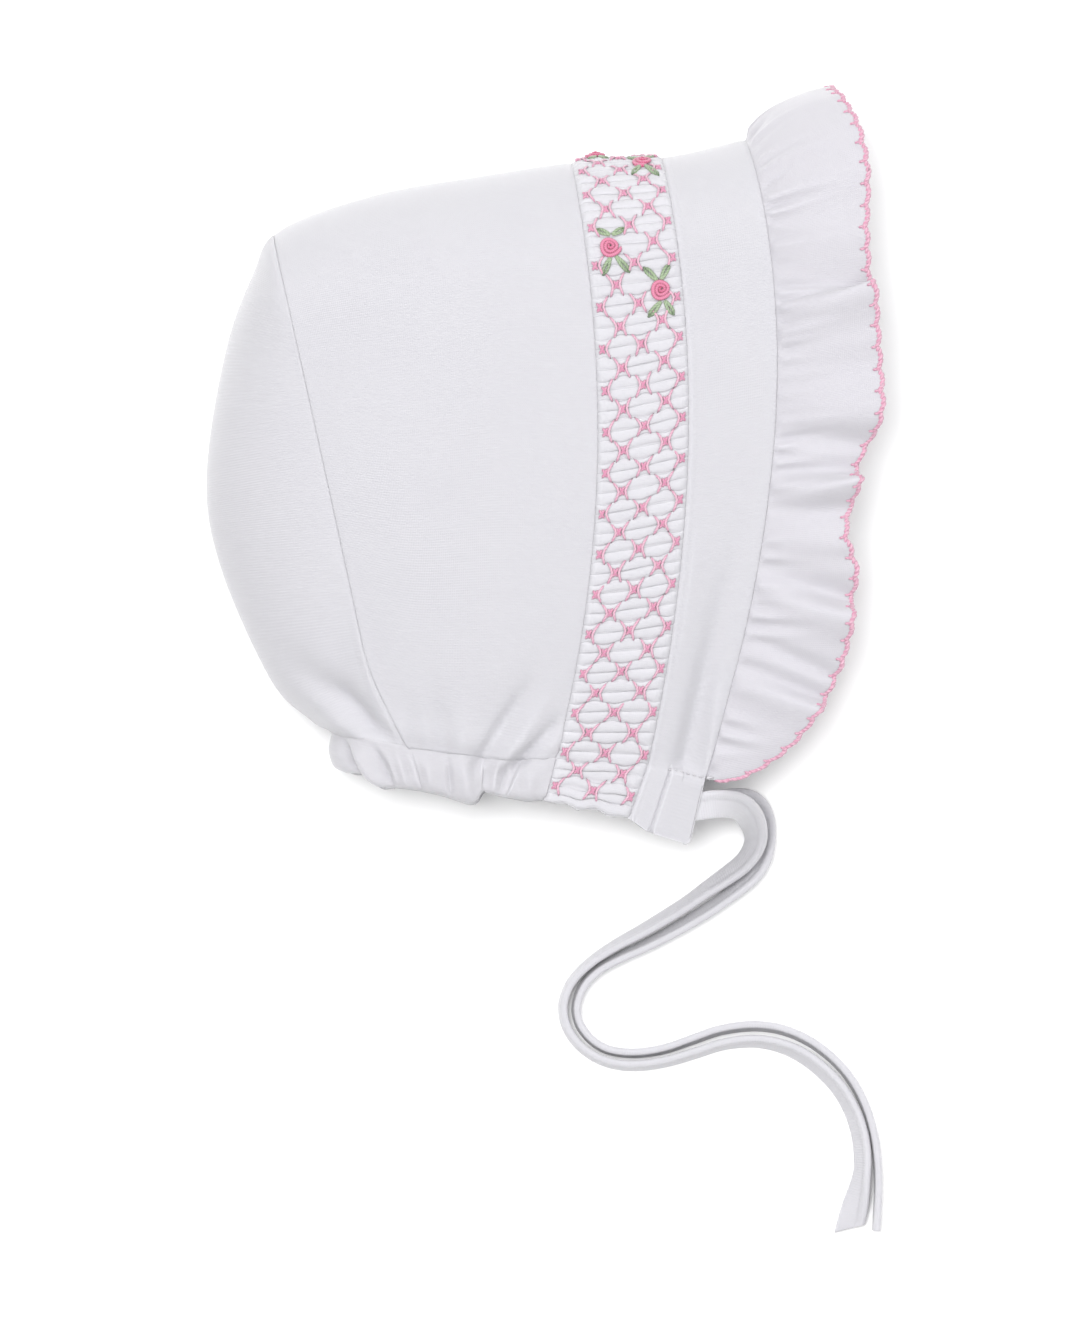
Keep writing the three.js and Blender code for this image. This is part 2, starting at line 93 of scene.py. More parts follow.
# Places and sizes are shares of the sizes above. Each start names the stretch that a reach is a share of.
STATION_COLUMNS = ("start reach crown middle neck_line middle_lean neck_lean hem_lean hem_drop "
                   "depth neck_depth").split()
STATION_ROWS = [
    ("back", 0.070, 0.771, 0.533, 0.146, 0.020, 0.120, 0.20, 1.00, 0.75, 0.85),
    ("back", 0.181, 0.862, 0.527, 0.135, 0.075, 0.159, 0.17, 1.00, 0.91, 0.98),
    ("back", 0.459, 0.919, 0.513, 0.126, 0.043, 0.079, 0.05, 1.00, 1.00, 1.00),
    ("back", 0.747, 0.948, 0.527, 0.116, 0.036, 0.014, -0.10, 0.98, 0.99, 0.95),
    ("back", 1.000, 0.966, 0.527, 0.113, 0.036, -0.024, -0.26, 0.98, 0.96, 0.88),
    ("smocking", 1.000, 0.973, 0.556, 0.105, 0.037, -0.020, -0.45, 1.26, 0.91, 0.75),
    ("band", 1.000, 1.000, 0.585, 0.087, 0.040, -0.059, -0.33, 1.40, 0.86, 0.60),
]
BACK_SEAM, CROWN_MIDDLE, SMOCK_BACK, SMOCK_FRONT, RUFFLE_SEAM = 1, 2, 4, 5, 6
SIDE_LINE_POINTS = 201


def quadratic(first, middle, last, t):
    """Points of a quadratic curve for an array t."""
    t = np.asarray(t)[..., None]
    return (1 - t) ** 2 * first + 2 * t * (1 - t) * middle + t ** 2 * last


def measure_station(row):
    """One station's places and lengths, worked out from its row of shares."""
    station = dict(zip(STATION_COLUMNS, row))
    ends = {"back": (0, BACK_TO_SMOCKING), "smocking": (BACK_TO_SMOCKING, SMOCKED_WIDTH),
            "band": (BACK_TO_SMOCKING + SMOCKED_WIDTH, BAND_WIDTH)}
    start, stretch = ends[station["start"]]
    crown_x = start + stretch * station["reach"]
    crown = np.array([crown_x, BONNET_HEIGHT * station["crown"]])
    middle = np.array([crown_x + BONNET_HEIGHT * station["middle_lean"], BONNET_HEIGHT * station["middle"]])
    neck = np.array([crown_x + BONNET_HEIGHT * station["neck_lean"], BONNET_HEIGHT * station["neck_line"]])
    hem = neck + CASING_HEIGHT * np.array([station["hem_lean"], -station["hem_drop"]])
    bow = 2 * middle - (crown + neck) / 2
    side = quadratic(crown, bow, neck, np.linspace(0, 1, SIDE_LINE_POINTS))
    length = np.linalg.norm(np.diff(side, axis=0), axis=1).sum()
    depth = CHEEK_DEPTH * station["depth"]
    turn = pi / 2 * np.sqrt((CROWN_ROUND ** 2 + depth ** 2) / 2)
    return {"crown": crown, "bow": bow, "neck": neck, "hem": hem, "depth": depth,
            "neck_depth": NECK_DEPTH * station["neck_depth"], "turn": turn, "drop": length - CROWN_ROUND}


measured = [measure_station(row) for row in STATION_ROWS]
print("half arch of each station in mm:", [round(s["turn"] + s["drop"]) for s in measured])


# %% Points of the head's skin
def half_arch(station):
    return measured[station]["turn"] + measured[station]["drop"]


def arch_run(station, share):
    """An arch's turn over the crown in radians, its straight run below that, and how far it is down in all."""
    run = np.minimum(np.abs(share), 1) * (station["turn"] + station["drop"])
    angle = np.minimum(run / station["turn"], 1) * pi / 2
    below = np.maximum(run - station["turn"], 0)
    return angle, below, CROWN_ROUND * (1 - np.cos(angle)) + below


def arch_point(station, share):
    """Points of one station's arch. Past 1 the share goes on to the hem."""
    angle, below, down = arch_run(station, share)
    down_share = down / (CROWN_ROUND + station["drop"])
    flat = quadratic(station["crown"], station["bow"], station["neck"], down_share)
    beyond = ((np.abs(share) - 1) / HEM_SHARE)[..., None]
    flat = np.where(beyond > 0, station["neck"] + (station["hem"] - station["neck"]) * beyond, flat)
    narrowing = (station["depth"] - station["neck_depth"]) * (below / station["drop"]) ** NARROWING_POWER
    out = station["depth"] * np.sin(angle) - narrowing
    return np.concatenate([flat, (np.sign(share) * out)[..., None]], axis=-1)


def smooth_through(points, place):
    """A smooth curve through rows of points, at places that count the rows from 0."""
    ends = [2 * points[:1] - points[1:2], points, 2 * points[-1:] - points[-2:-1]]
    known = np.concatenate(ends)
    low = np.clip(np.floor(place).astype(int), 0, len(points) - 2)
    t = (place - low)[..., None]
    column = np.arange(len(place))
    a, b, c, d = (known[low + step, column] for step in range(4))
    start, end = (c - a) / 2, (d - b) / 2
    return (2 * b - 2 * c + start + end) * t ** 3 + (3 * c - 3 * b - 2 * start - end) * t ** 2 + start * t + b


def head_skin(share, place):
    share, place = np.broadcast_arrays(np.asarray(share, float), np.asarray(place, float))
    return smooth_through(np.array([arch_point(station, share) for station in measured]), place)


def settle(points):
    """Cloth that would sink below the floor is laid flat on it, with a soft turn."""
    height = points[:, 2] + MIDDLE_HEIGHT
    blend = np.maximum(SETTLE_ROUND - np.abs(height), 0) / SETTLE_ROUND
    return np.column_stack([points[:, :2], np.maximum(height, 0) + blend * blend * SETTLE_ROUND / 4])


chin_hem = measured[RUFFLE_SEAM]["hem"][1]
PATTERN_ORIGIN = np.array([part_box("back_panel")[0].x / MM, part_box("front_band")[0].y / MM - chin_hem, 0])


def to_row(points):
    """Millimetres as drawn, to metres in the row frame."""
    return (np.asarray(points) + PATTERN_ORIGIN) * MM


print("pattern origin in mm:", PATTERN_ORIGIN.round(2))

# %% [markdown]
# ## One maker for every piece of cloth
# Each panel is a wall of cloth: a fine grid on its outer side, the same grid on its inner side, and a rim
# between them that is bevelled so that no hem ends in a knife edge. The two grids are made and bridged while
# they are flat, where they line up exactly, and then each vertex is moved to its place on the skin. A UV map
# holds the cloth's own millimetres, so that the knit in the material follows the cloth.

# %% The cloth maker
STEP = 0.002
TINY = 1e-9
RIM_SHARE = 0.22


def outward(skin, u, v):
    """Outward directions of a skin, from short steps both ways. A step never leaves the cloth."""
    low_u, high_u = np.maximum(u - STEP, np.minimum(u, 0)), np.minimum(u + STEP, np.maximum(u, 1))
    low_v, high_v = np.maximum(v - STEP, np.minimum(v, 0)), np.minimum(v + STEP, np.maximum(v, 1))
    cross = np.cross(skin(high_u, v) - skin(low_u, v), skin(u, high_v) - skin(u, low_v))
    return cross / np.maximum(np.linalg.norm(cross, axis=1), TINY)[:, None]


def link(name, bm, material_name, node=None):
    """Makes a finished bmesh an object that rides on the body, and hides the CAD part that it stands for, if there
    is one.
    """
    mesh = bpy.data.meshes.new(name)
    bm.to_mesh(mesh)
    bm.free()
    mesh.polygons.foreach_set("use_smooth", [True] * len(mesh.polygons))
    piece = bpy.data.objects.new(name, mesh)
    bpy.context.scene.collection.objects.link(piece)
    mesh.materials.append(bpy.data.materials.get(material_name) or bpy.data.materials.new(material_name))
    if node:
        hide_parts(node)
    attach(piece, "root")
    triangles = sum(len(face.vertices) - 2 for face in mesh.polygons)
    lowest = min(vert.co.z for vert in mesh.vertices) / MM
    print(f"{name}: {triangles} triangles, lowest point {lowest:.2f} mm")
    return piece


def wall_of_cloth(columns, rows, place, spread, hem, wall, spacing=None):
    """A bmesh of a wall: place(u, v, inner) gives points in mm, spread(u, v) the cloth's own millimetres, and
    hem(u, v) says where the edge is open and so is rounded. spacing(u) moves the columns."""
    bm = bmesh.new()
    bmesh.ops.create_grid(bm, x_segments=columns, y_segments=rows, size=0.5)
    copy = bmesh.ops.duplicate(bm, geom=bm.verts[:] + bm.edges[:] + bm.faces[:])["geom"]
    inner = [part for part in copy if isinstance(part, bmesh.types.BMVert)]
    bmesh.ops.translate(bm, verts=inner, vec=(0, 0, -1 / rows))
    bmesh.ops.reverse_faces(bm, faces=[part for part in copy if isinstance(part, bmesh.types.BMFace)])
    rims = [edge for edge in bm.edges if edge.is_boundary]
    bmesh.ops.bridge_loops(bm, edges=rims)
    flat = np.array([vert.co for vert in bm.verts])
    u, v = np.clip(flat[:, 0] + 0.5, 0, 1), np.clip(flat[:, 1] + 0.5, 0, 1)
    if spacing:
        u = spacing(u)
    points = to_row(place(u, v, flat[:, 2] < 0))
    points[:, 2] = np.maximum(points[:, 2], 0)
    own = spread(u, v)
    uv = bm.loops.layers.uv.new("cloth")
    bm.verts.index_update()
    for vert, point in zip(bm.verts, points):
        vert.co = point
    for face in bm.faces:
        for loop in face.loops:
            loop[uv].uv = own[loop.vert.index]
    is_open = hem(u, v)
    hems = [edge for edge in rims if all(is_open[vert.index] for vert in edge.verts)]
    bmesh.ops.bevel(bm, geom=hems, offset=wall * RIM_SHARE * MM, segments=2, affect="EDGES", profile=0.5,
                    material=-1)
    for vert in bm.verts:
        vert.co.z = max(vert.co.z, 0)
    return bm


def no_hem(u, v):
    return u < -1


def rolled(distance, radius):
    """How far a round edge has turned away, at a distance from its end."""
    return radius * (1 - np.sqrt(1 - np.clip(1 - distance / radius, 0, 1) ** 2))


def ramp(value, low=0.0, high=1.0):
    """A smooth rise from 0 at low to 1 at high."""
    t = np.clip((value - low) / (high - low), 0, 1)
    return t * t * (3 - 2 * t)


def bump(distance, spread):
    """A soft hill of height 1 that has all but gone at its spread and a half."""
    return np.exp(-2 * (distance / spread) ** 2)


def eased(table, place, reach):
    """Values between the rows of a table of places and values, with their corners rounded over a reach."""
    return sum(np.interp(place + step, *np.transpose(table)) for step in (-reach, 0, reach)) / 3


# %% [markdown]
# ## The ties
# The two ties come first, because their length decides how much floor the object takes. Each is a folded
# strip of jersey with its two raw edges turned in and stitched down, so that one edge is a plump ridge. It
# is a grid wrapped into a tube with that section, and bent along the same route as its CAD solid.

# %% Routes of the ties
TIE_WIDTH = 6.7
TIE_THICKNESS = 2.0
TIE_RIGHT_ROUTE = [
    (118.6, 8.0, 35.2), (120.8, 8.3, 34.6), (123.4, 8.4, 32.6), (126.2, 8.0, 29.0), (128.8, 6.6, 23.8),
    (130.5, 4.0, 18.0), (131.2, 0.7, 12.6), (130.6, -2.6, 8.6), (128.4, -6.0, 5.6), (125.0, -8.8, 4.0),
    (120.0, -12.2, 3.5), (115.2, -15.6, 3.5), (109.7, -19.1, 3.5), (103.9, -22.5, 3.5), (97.8, -25.8, 3.5),
    (92.3, -29.4, 3.5), (88.1, -33.3, 3.5), (85.8, -37.2, 3.5), (85.0, -41.4, 3.5), (86.0, -45.8, 3.5),
    (88.9, -50.0, 3.5), (93.4, -53.2, 3.5), (98.7, -54.8, 3.5), (104.4, -54.9, 3.5), (110.5, -53.9, 3.5),
    (117.0, -52.0, 3.5), (123.7, -49.9, 3.5), (130.5, -49.1, 3.5), (136.6, -49.9, 3.5), (142.2, -52.2, 3.5),
    (147.3, -55.9, 3.5), (151.6, -60.5, 3.5), (154.8, -66.1, 3.5), (156.7, -72.3, 3.5), (157.2, -79.0, 3.4),
    (156.3, -85.6, 2.8), (154.2, -94.1, 1.4),
]
TIE_LEFT_ROUTE = [
    (118.6, 8.0, 12.8), (120.9, 8.1, 12.0), (123.8, 8.4, 9.8), (127.0, 8.7, 7.0), (130.0, 8.3, 4.8),
    (132.1, 6.5, 3.8), (133.1, 3.5, 3.5), (133.3, -0.5, 3.5), (132.7, -4.6, 3.5), (130.9, -8.4, 3.5),
    (127.4, -12.0, 3.5), (122.2, -15.9, 3.5), (116.4, -19.6, 3.5), (110.5, -23.0, 3.5), (104.7, -26.0, 3.5),
    (99.1, -28.6, 3.5), (94.4, -31.2, 3.5), (90.9, -34.3, 3.5), (88.9, -37.8, 3.5), (88.2, -41.4, 3.5),
    (89.1, -45.2, 3.5), (91.7, -48.6, 3.5), (95.2, -50.9, 3.5), (99.5, -51.9, 3.5), (104.4, -51.9, 3.5),
    (110.0, -50.9, 3.5), (116.2, -48.8, 3.5), (123.0, -46.5, 3.5), (130.5, -45.5, 3.5), (137.2, -46.2, 3.5),
    (143.4, -48.6, 3.5), (148.9, -52.4, 3.5), (153.6, -57.3, 3.5), (157.1, -63.2, 3.5), (159.4, -69.8, 3.5),
    (160.6, -77.0, 3.5), (160.9, -84.7, 3.5), (160.4, -94.6, 3.5),
]
# Each row: share of the length, and how many degrees the tie leans over there.
TIE_RIGHT_LEAN = [
    (0.00, 0), (0.10, 10), (0.20, 52), (0.28, 66), (0.44, 80), (0.66, 74), (0.82, 62), (0.93, 58), (1.00, 6),
]
TIE_LEFT_LEAN = [(0.00, 0), (0.10, 20), (0.22, 66), (0.44, 80), (0.66, 76), (1.00, 84)]
FINE_STEPS = 40


def route_curve(route, count):
    """Evenly spaced points of the smooth curve through a route, and their headings."""
    points = np.array(route, float)
    fine = np.linspace(0, len(points) - 1, FINE_STEPS * len(points))
    line = smooth_through(np.repeat(points[:, None], len(fine), 1), fine)
    run = np.concatenate([[0], np.cumsum(np.linalg.norm(np.diff(line, axis=0), axis=1))])
    even = np.linspace(0, run[-1], count)
    spaced = np.column_stack([np.interp(even, run, line[:, axis]) for axis in range(3)])
    heading = np.gradient(spaced, axis=0)
    return spaced, heading / np.linalg.norm(heading, axis=1)[:, None], run[-1]


def lean_at(table, share):
    """The lean of a tie in radians, eased from row to row of its table."""
    lean = np.zeros_like(share)
    for (low, first), (high, last) in zip(table, table[1:]):
        here = (share >= low) & (share <= high)
        lean[here] = first + (last - first) * ramp(share[here], low, high)
    return np.radians(lean)


# %% [markdown]
# The section of a tie is drawn as a closed line of width and thickness: the plump stitched ridge on its left
# edge, a groove where the stitching holds it, and then the flat part down to the folded right edge.

# %% Make the ties
TIE_SECTION = [
    (0.50, 0.0), (0.49, 0.16), (0.44, 0.26), (0.30, 0.27), (0.12, 0.24), (-0.06, 0.22), (-0.15, 0.16),
    (-0.19, 0.22), (-0.27, 0.40), (-0.38, 0.46), (-0.47, 0.32), (-0.50, 0.0), (-0.47, -0.32), (-0.38, -0.44),
    (-0.26, -0.36), (-0.15, -0.22), (0.12, -0.24), (0.30, -0.27), (0.44, -0.26), (0.49, -0.16),
]
TIE_ROWS = 420
TIE_TUCK = 2.6
SLANT_FROM = 0.985


def tie(name, node, route, leans, end_slant):
    """One tie along its route. end_slant is how far its cut end runs off square, in mm."""
    first, second = np.array(route[0]), np.array(route[1])
    tucked = first - TIE_TUCK * (second - first) / np.linalg.norm(second - first)
    line, heading, length = route_curve([tuple(tucked), *route], TIE_ROWS + 1)
    up = np.array([0.0, 0.0, 1.0])
    side = np.cross(up, heading)
    side /= np.linalg.norm(side, axis=1)[:, None]
    face = np.cross(heading, side)
    lean = lean_at(leans, np.linspace(0, 1, TIE_ROWS + 1))[:, None]
    across, through = side * np.cos(lean) + face * np.sin(lean), face * np.cos(lean) - side * np.sin(lean)
    section = np.array(TIE_SECTION)
    bm = bmesh.new()
    bmesh.ops.create_grid(bm, x_segments=len(section), y_segments=TIE_ROWS, size=0.5)
    uv = bm.loops.layers.uv.new("cloth")
    for vert in bm.verts:
        around, row = round((vert.co.x + 0.5) * len(section)), round((vert.co.y + 0.5) * TIE_ROWS)
        wide, thick = section[around % len(section)]
        slide = end_slant * wide * max(0, row / TIE_ROWS - SLANT_FROM) / (1 - SLANT_FROM)
        point = line[row] + across[row] * -wide * TIE_WIDTH + through[row] * thick * TIE_THICKNESS
        point += heading[row] * slide
        for loop in vert.link_loops:
            loop[uv].uv = (row / TIE_ROWS * length, around / len(section) * 2 * TIE_WIDTH)
        vert.co = to_row(point)
        vert.co.z = max(vert.co.z, 0)
    bmesh.ops.remove_doubles(bm, verts=bm.verts, dist=1e-7)
    bmesh.ops.holes_fill(bm, edges=[edge for edge in bm.edges if edge.is_boundary], sides=0)
    bmesh.ops.recalc_face_normals(bm, faces=bm.faces)
    piece = link(name, bm, "tie_jersey", node)
    print(f"{name}: {length:.0f} mm long")


tie("tie_right_cloth", "tie_right", TIE_RIGHT_ROUTE, TIE_RIGHT_LEAN, 4.0)
tie("tie_left_cloth", "tie_left", TIE_LEFT_ROUTE, TIE_LEFT_LEAN, 0.0)

# %% [markdown]
# ## The plain panels
# The crown panel goes over the head from the back seam to the smocking, and the back panel fills the back of
# the head. Both are smooth but for soft dents: the casing's elastic draws the cloth in along the neck, and
# the creases run up from it and die away. Each crease is a short line on the side that shows, with a width
# and a lift.

# %% Soft creases
# Each row: from x, y, to x, y in photo pixels, then the width and the lift in mm. A lift below 0 is a valley.
SIDE_CREASES = [
    (480, 762, 534, 676, 2.2, -2.4),
    (500, 768, 552, 690, 2.6, 1.7),
    (520, 762, 572, 706, 1.8, -2.4),
    (545, 766, 590, 716, 3.0, 0.8),
    (505, 735, 545, 640, 6.0, -0.9),
    (444, 752, 436, 668, 3.6, -1.2),
    (462, 760, 470, 690, 4.0, 0.9),
    (418, 748, 408, 690, 3.2, -0.6),
    (398, 747, 404, 700, 3.0, 0.5),
    (574, 768, 590, 690, 4.0, 0.5),
    (556, 766, 560, 700, 3.0, -0.5),
]
BACK_CREASES = [
    (400, 756, 268, 640, 5.4, -4.0),
    (396, 768, 286, 678, 2.6, 2.6),
    (345, 700, 352, 610, 7.0, -1.0),
    (372, 740, 330, 640, 6.0, -0.8),
]
CREASE_START, CREASE_END = (-0.25, 0.05), (1.1, 0.2)
# Heights in mm between which the side that shows begins.
SHOWING, BACK_SHOWING = (22, 32), (19, 25)


def photo_mm(x, y):
    """A photo pixel as millimetres of the pattern."""
    from_centre = np.array([x - PHOTO_WIDE / 2, PHOTO_HIGH / 2 - y]) * PIXEL
    return np.array(PHOTO_CENTRE) + from_centre - PATTERN_ORIGIN[:2]


def beside_line(points, x0, y0, x1, y1):
    """Places along a line between two photo pixels, from 0 to 1, and distances to the right of it in mm."""
    start, end = photo_mm(x0, y0), photo_mm(x1, y1)
    line = end - start
    from_start = points[:, :2] - start
    across = from_start[:, 0] * line[1] - from_start[:, 1] * line[0]
    return from_start @ line / (line @ line), across / np.linalg.norm(line)


def creases(points, rows, showing=SHOWING):
    """How far creases lift each point. They fade at their ends and towards the side that lies down."""
    total = np.zeros(len(points))
    for *ends, width, lift in rows:
        along, beside = beside_line(points, *ends)
        total += lift * bump(beside, width) * (ramp(along, *CREASE_END) * ramp(along, *CREASE_START))
    return total * ramp(points[:, 2], *showing)


def ripple(points, size, height):
    """Gentle unevenness of limp cloth: a few long waves that cross."""
    x, y, z = (points / size).T
    crossed = np.sin(x + 0.6 * y + 1.3) * np.sin(0.8 * y - 0.3 * z + 0.4)
    return height * (crossed + 0.6 * np.sin(1.7 * x - y + z))


# %% Panels
CLOTH_WALL = 1.4
SEAM_DIP, SEAM_WIDTH = 0.24, 1.4
FAINT_DIP, FAINT_DIP_AT_NECK = 0.02, 0.17
SEAM_BLEND = 3
TUCK, TUCK_SLOPE = 0.4, 0.22
FLOOR_FADE = 2
VALLEY_INSIDE = 0.8
CROWN_RIPPLE, BACK_RIPPLE, BAND_RIPPLE = (17, 0.16), (15, 0.14), (14, 0.12)
MIDDLE_PLATE = [(35, 10, MIDDLE_HEIGHT), (130, 125, MIDDLE_HEIGHT)]


def away(points):
    """Directions away from the middle of the head, which depend on the place alone."""
    outer = points - np.clip(points, *MIDDLE_PLATE)
    return outer / np.maximum(np.linalg.norm(outer, axis=1), TINY)[:, None]


def seamed(normal, points, seam):
    """Outward directions that two panels share along their seam. seam is the distance from it in mm."""
    part = bump(np.maximum(seam, 0), SEAM_BLEND)[:, None]
    mixed = normal * (1 - part) + away(points) * part
    return mixed / np.maximum(np.linalg.norm(mixed, axis=1), TINY)[:, None]


def laid_cloth(skin, wall, relief, seam, u, v, inner):
    """Points of a wall: relief raises the skin outside, and inside it lies a wall's thickness further in."""
    lying = settle(skin(u, v))
    normal = seamed(outward(lambda a, b: settle(skin(a, b)), u, v), lying, seam(u, v))
    raised = relief(u, v, lying) * np.clip(lying[:, 2] / FLOOR_FADE, 0, 1)
    return lying + normal * np.where(inner, np.minimum(raised, 0) * VALLEY_INSIDE - wall, raised)[:, None]


def tuck_under(distance):
    return TUCK_SLOPE * np.minimum(distance, 0)


def dip(distance, depth=SEAM_DIP):
    """Cloth turns down into a seam, and past it runs on under its neighbour. distance is in mm."""
    return -depth * bump(np.maximum(distance, 0), SEAM_WIDTH) + tuck_under(distance)


def back_seam_depth(share):
    """The back seam is faint over the crown and shows more near the neck."""
    return FAINT_DIP + (FAINT_DIP_AT_NECK - FAINT_DIP) * ramp(np.abs(share), 0.5, 0.95)


def tucked(share, length, first=1, last=1):
    """Shares of a length in mm, stretched so that they run past its ends by a tuck."""
    past = TUCK / length
    return share * (1 + past * (first + last)) - past * first


NECK_END = 1
HEM_END = 1 + HEM_SHARE
CROWN_LENGTH, CROWN_ARCH = 72, 2 * half_arch(CROWN_MIDDLE)
SEAM_BEND, SEAM_BEND_FROM, SEAM_BEND_POWER, BEND_PART = 0.49, 0.86, 1.8, 0.07
BLOUSE, BLOUSE_AT, BLOUSE_WIDE, BLOUSE_FOOT = 0.6, 3.6, 4.68, 2.88
NECK_DIP, NECK_SOFTENED = 0.22, 0.95
SOFT_NECK = (446, 52)


def neck_dip(points):
    """How deep the neck's seam lies. It all but vanishes under the gathers in the middle of the side."""
    middle, spread = SOFT_NECK
    return NECK_DIP * (1 - NECK_SOFTENED * bump(points[:, 0] - photo_mm(middle, 0)[0], spread * PIXEL))


def blouse(above, points):
    """Cloth puffs out over the casing and turns in to it. above is the distance from the casing in mm."""
    puff = BLOUSE * bump(above - BLOUSE_AT, BLOUSE_WIDE)
    foot = neck_dip(points) + BLOUSE * bump(BLOUSE_AT, BLOUSE_WIDE)
    return puff - foot * bump(np.maximum(above, 0), BLOUSE_FOOT) + tuck_under(above)


def crown_edges(u, v):
    """Distances in mm from the back seam or the smocking, and from the casing."""
    across, along = tucked(v, CROWN_LENGTH), tucked(u, CROWN_ARCH)
    return np.minimum(across, 1 - across) * CROWN_LENGTH, np.minimum(along, 1 - along) * CROWN_ARCH


def crown_relief(u, v, points):
    edge, above = crown_edges(u, v)
    soft = creases(points, SIDE_CREASES) + ripple(points, *CROWN_RIPPLE) * ramp(above, 0, 3)
    depth = np.where(v < 0.5, back_seam_depth(2 * u - 1), SEAM_DIP)
    return soft * ramp(edge, 0, 4) + dip(edge, depth) + blouse(above, points)


def seam_bend(share):
    """How far the back seam runs forward near the neck, counted in stations."""
    past = np.clip((np.abs(share) - SEAM_BEND_FROM) / (1 - SEAM_BEND_FROM), 0, 1)
    return SEAM_BEND * past ** SEAM_BEND_POWER


def crown_skin(u, v):
    share = 2 * tucked(u, CROWN_ARCH) - 1
    seam = BACK_SEAM + seam_bend(share)
    return head_skin(share, seam + (SMOCK_BACK - seam) * tucked(v, CROWN_LENGTH))


bm = wall_of_cloth(
    columns=300, rows=90,
    place=lambda u, v, inner: laid_cloth(
        crown_skin, CLOTH_WALL, crown_relief, lambda a, b: np.minimum(*crown_edges(a, b)), u, v, inner),
    spread=lambda u, v: np.column_stack([(u - 0.5) * CROWN_ARCH, v * CROWN_LENGTH]),
    hem=no_hem, wall=CLOTH_WALL)
link("crown_panel_cloth", bm, "white_jersey", "crown_panel")

# %% The back of the head
# Each row: shares of the length from the back to the smocking, and of the bonnet's height.
BACK_OUTLINE = [
    (0.128, 0.808), (0.063, 0.721), (0.016, 0.599), (0.000, 0.499), (0.019, 0.420), (0.082, 0.324),
    (0.198, 0.208), (0.338, 0.152),
]
NAPE_HEM_LEAN = 0.14
BACK_FULL_ANGLE = 1.5
BACK_TOP_SHARE = 0.0175
CROWN_LEAD_IN = 0.6
BACK_LENGTH = 75

outline_points = np.array([
    head_skin([0], BACK_SEAM + CROWN_LEAD_IN)[0], head_skin([0], BACK_SEAM)[0],
    *[(BACK_TO_SMOCKING * x, BONNET_HEIGHT * y, 0) for x, y in BACK_OUTLINE]])


def side_run(share):
    """How far a place on the back seam has come down the side view."""
    return arch_run(measured[BACK_SEAM], share)[2]


def back_skin(share, across):
    """Rows round the back of the head. across runs from the seam that lies down, -1, to the other one, 1."""
    top, foot = side_run(BACK_TOP_SHARE), side_run(1)
    here = (side_run(share) - top) / (foot - top)
    edge = head_skin(share, BACK_SEAM)
    spans = len(outline_points) - 1
    place = 1 + np.clip(here, 0, 1) * (spans - 1)
    middle = smooth_through(np.repeat(outline_points[:, None], len(share), 1), place)
    beyond = np.maximum(share - 1, 0) / HEM_SHARE * CASING_HEIGHT
    middle += np.column_stack([beyond * NAPE_HEM_LEAN, -beyond, 0 * beyond])
    angle = np.abs(across) * BACK_FULL_ANGLE
    blend = ((1 - np.cos(angle)) / (1 - np.cos(BACK_FULL_ANGLE)))[:, None]
    point = middle + (edge - middle) * blend
    point[:, 2] = np.sign(across) * edge[:, 2] * np.sin(angle) / np.sin(BACK_FULL_ANGLE)
    return point


def back_panel_skin(u, v):
    """Past a turn near the seam, the panel follows the side of the head as far as the seam bends forward."""
    share = NECK_END + (BACK_TOP_SHARE - NECK_END) * tucked(v, half_arch(BACK_SEAM), last=0)
    across = 2 * tucked(u, 2 * BACK_LENGTH) - 1
    bend = seam_bend(share)
    turn = 1 - BEND_PART * bend / SEAM_BEND
    past = np.maximum(np.abs(across) - turn, 0) / np.maximum(1 - turn, 1e-6) * bend
    beside = head_skin(np.sign(across) * share, BACK_SEAM + past)
    most = 1 + TUCK / BACK_LENGTH
    round_back = back_skin(share, np.clip(across / turn, -most, most))
    return np.where((past > 0)[:, None], beside, round_back)


def back_edges(u, v):
    across, down = tucked(u, 2 * BACK_LENGTH), tucked(v, half_arch(BACK_SEAM), last=0)
    sides = np.minimum(across, 1 - across) * 2 * BACK_LENGTH
    return np.minimum(sides, (1 - down) * half_arch(BACK_SEAM)), down * half_arch(BACK_SEAM)


def back_relief(u, v, points):
    edge, above = back_edges(u, v)
    soft = creases(points, BACK_CREASES, BACK_SHOWING) + ripple(points, *BACK_RIPPLE)
    soft *= ramp(edge, 0, 4) * ramp(above, 0, 3)
    return soft + dip(edge, back_seam_depth(1 - v)) + blouse(above, points)


bm = wall_of_cloth(
    columns=110, rows=120,
    place=lambda u, v, inner: laid_cloth(
        back_panel_skin, CLOTH_WALL, back_relief, lambda a, b: np.minimum(*back_edges(a, b)), u, v, inner),
    spread=lambda u, v: np.column_stack([(1 - v) * half_arch(BACK_SEAM), (2 * u - 1) * BACK_LENGTH]),
    hem=no_hem, wall=CLOTH_WALL)
link("back_panel_cloth", bm, "white_jersey", "back_panel")

# %% [markdown]
# ## The smocked band
# Smocking gathers cloth into even pleats and then stitches neighbours together. The pleats run across the
# band from back to front, 2.46 mm apart, with round tops and sharp valleys. Nodes of stitches pull two
# pleats together, in five columns, and every other column is shifted by half a diamond, so that the cloth
# opens into small diamonds between.

# %% Pleats and nodes
PLEAT_PITCH, PLEAT_HEIGHT = 2.46, 1.0
SMOCKED_WALL = 1.5
PLEATS_PER_DIAMOND = 4
NODE_COLUMNS = [(0.07, 0), (0.27, 2), (0.50, 0), (0.74, 2), (0.93, 0)]
band_half = half_arch(SMOCK_FRONT) * HEM_END
pleats = round(2 * band_half / PLEAT_PITCH)
FIRST_NODE_PLEAT = 2


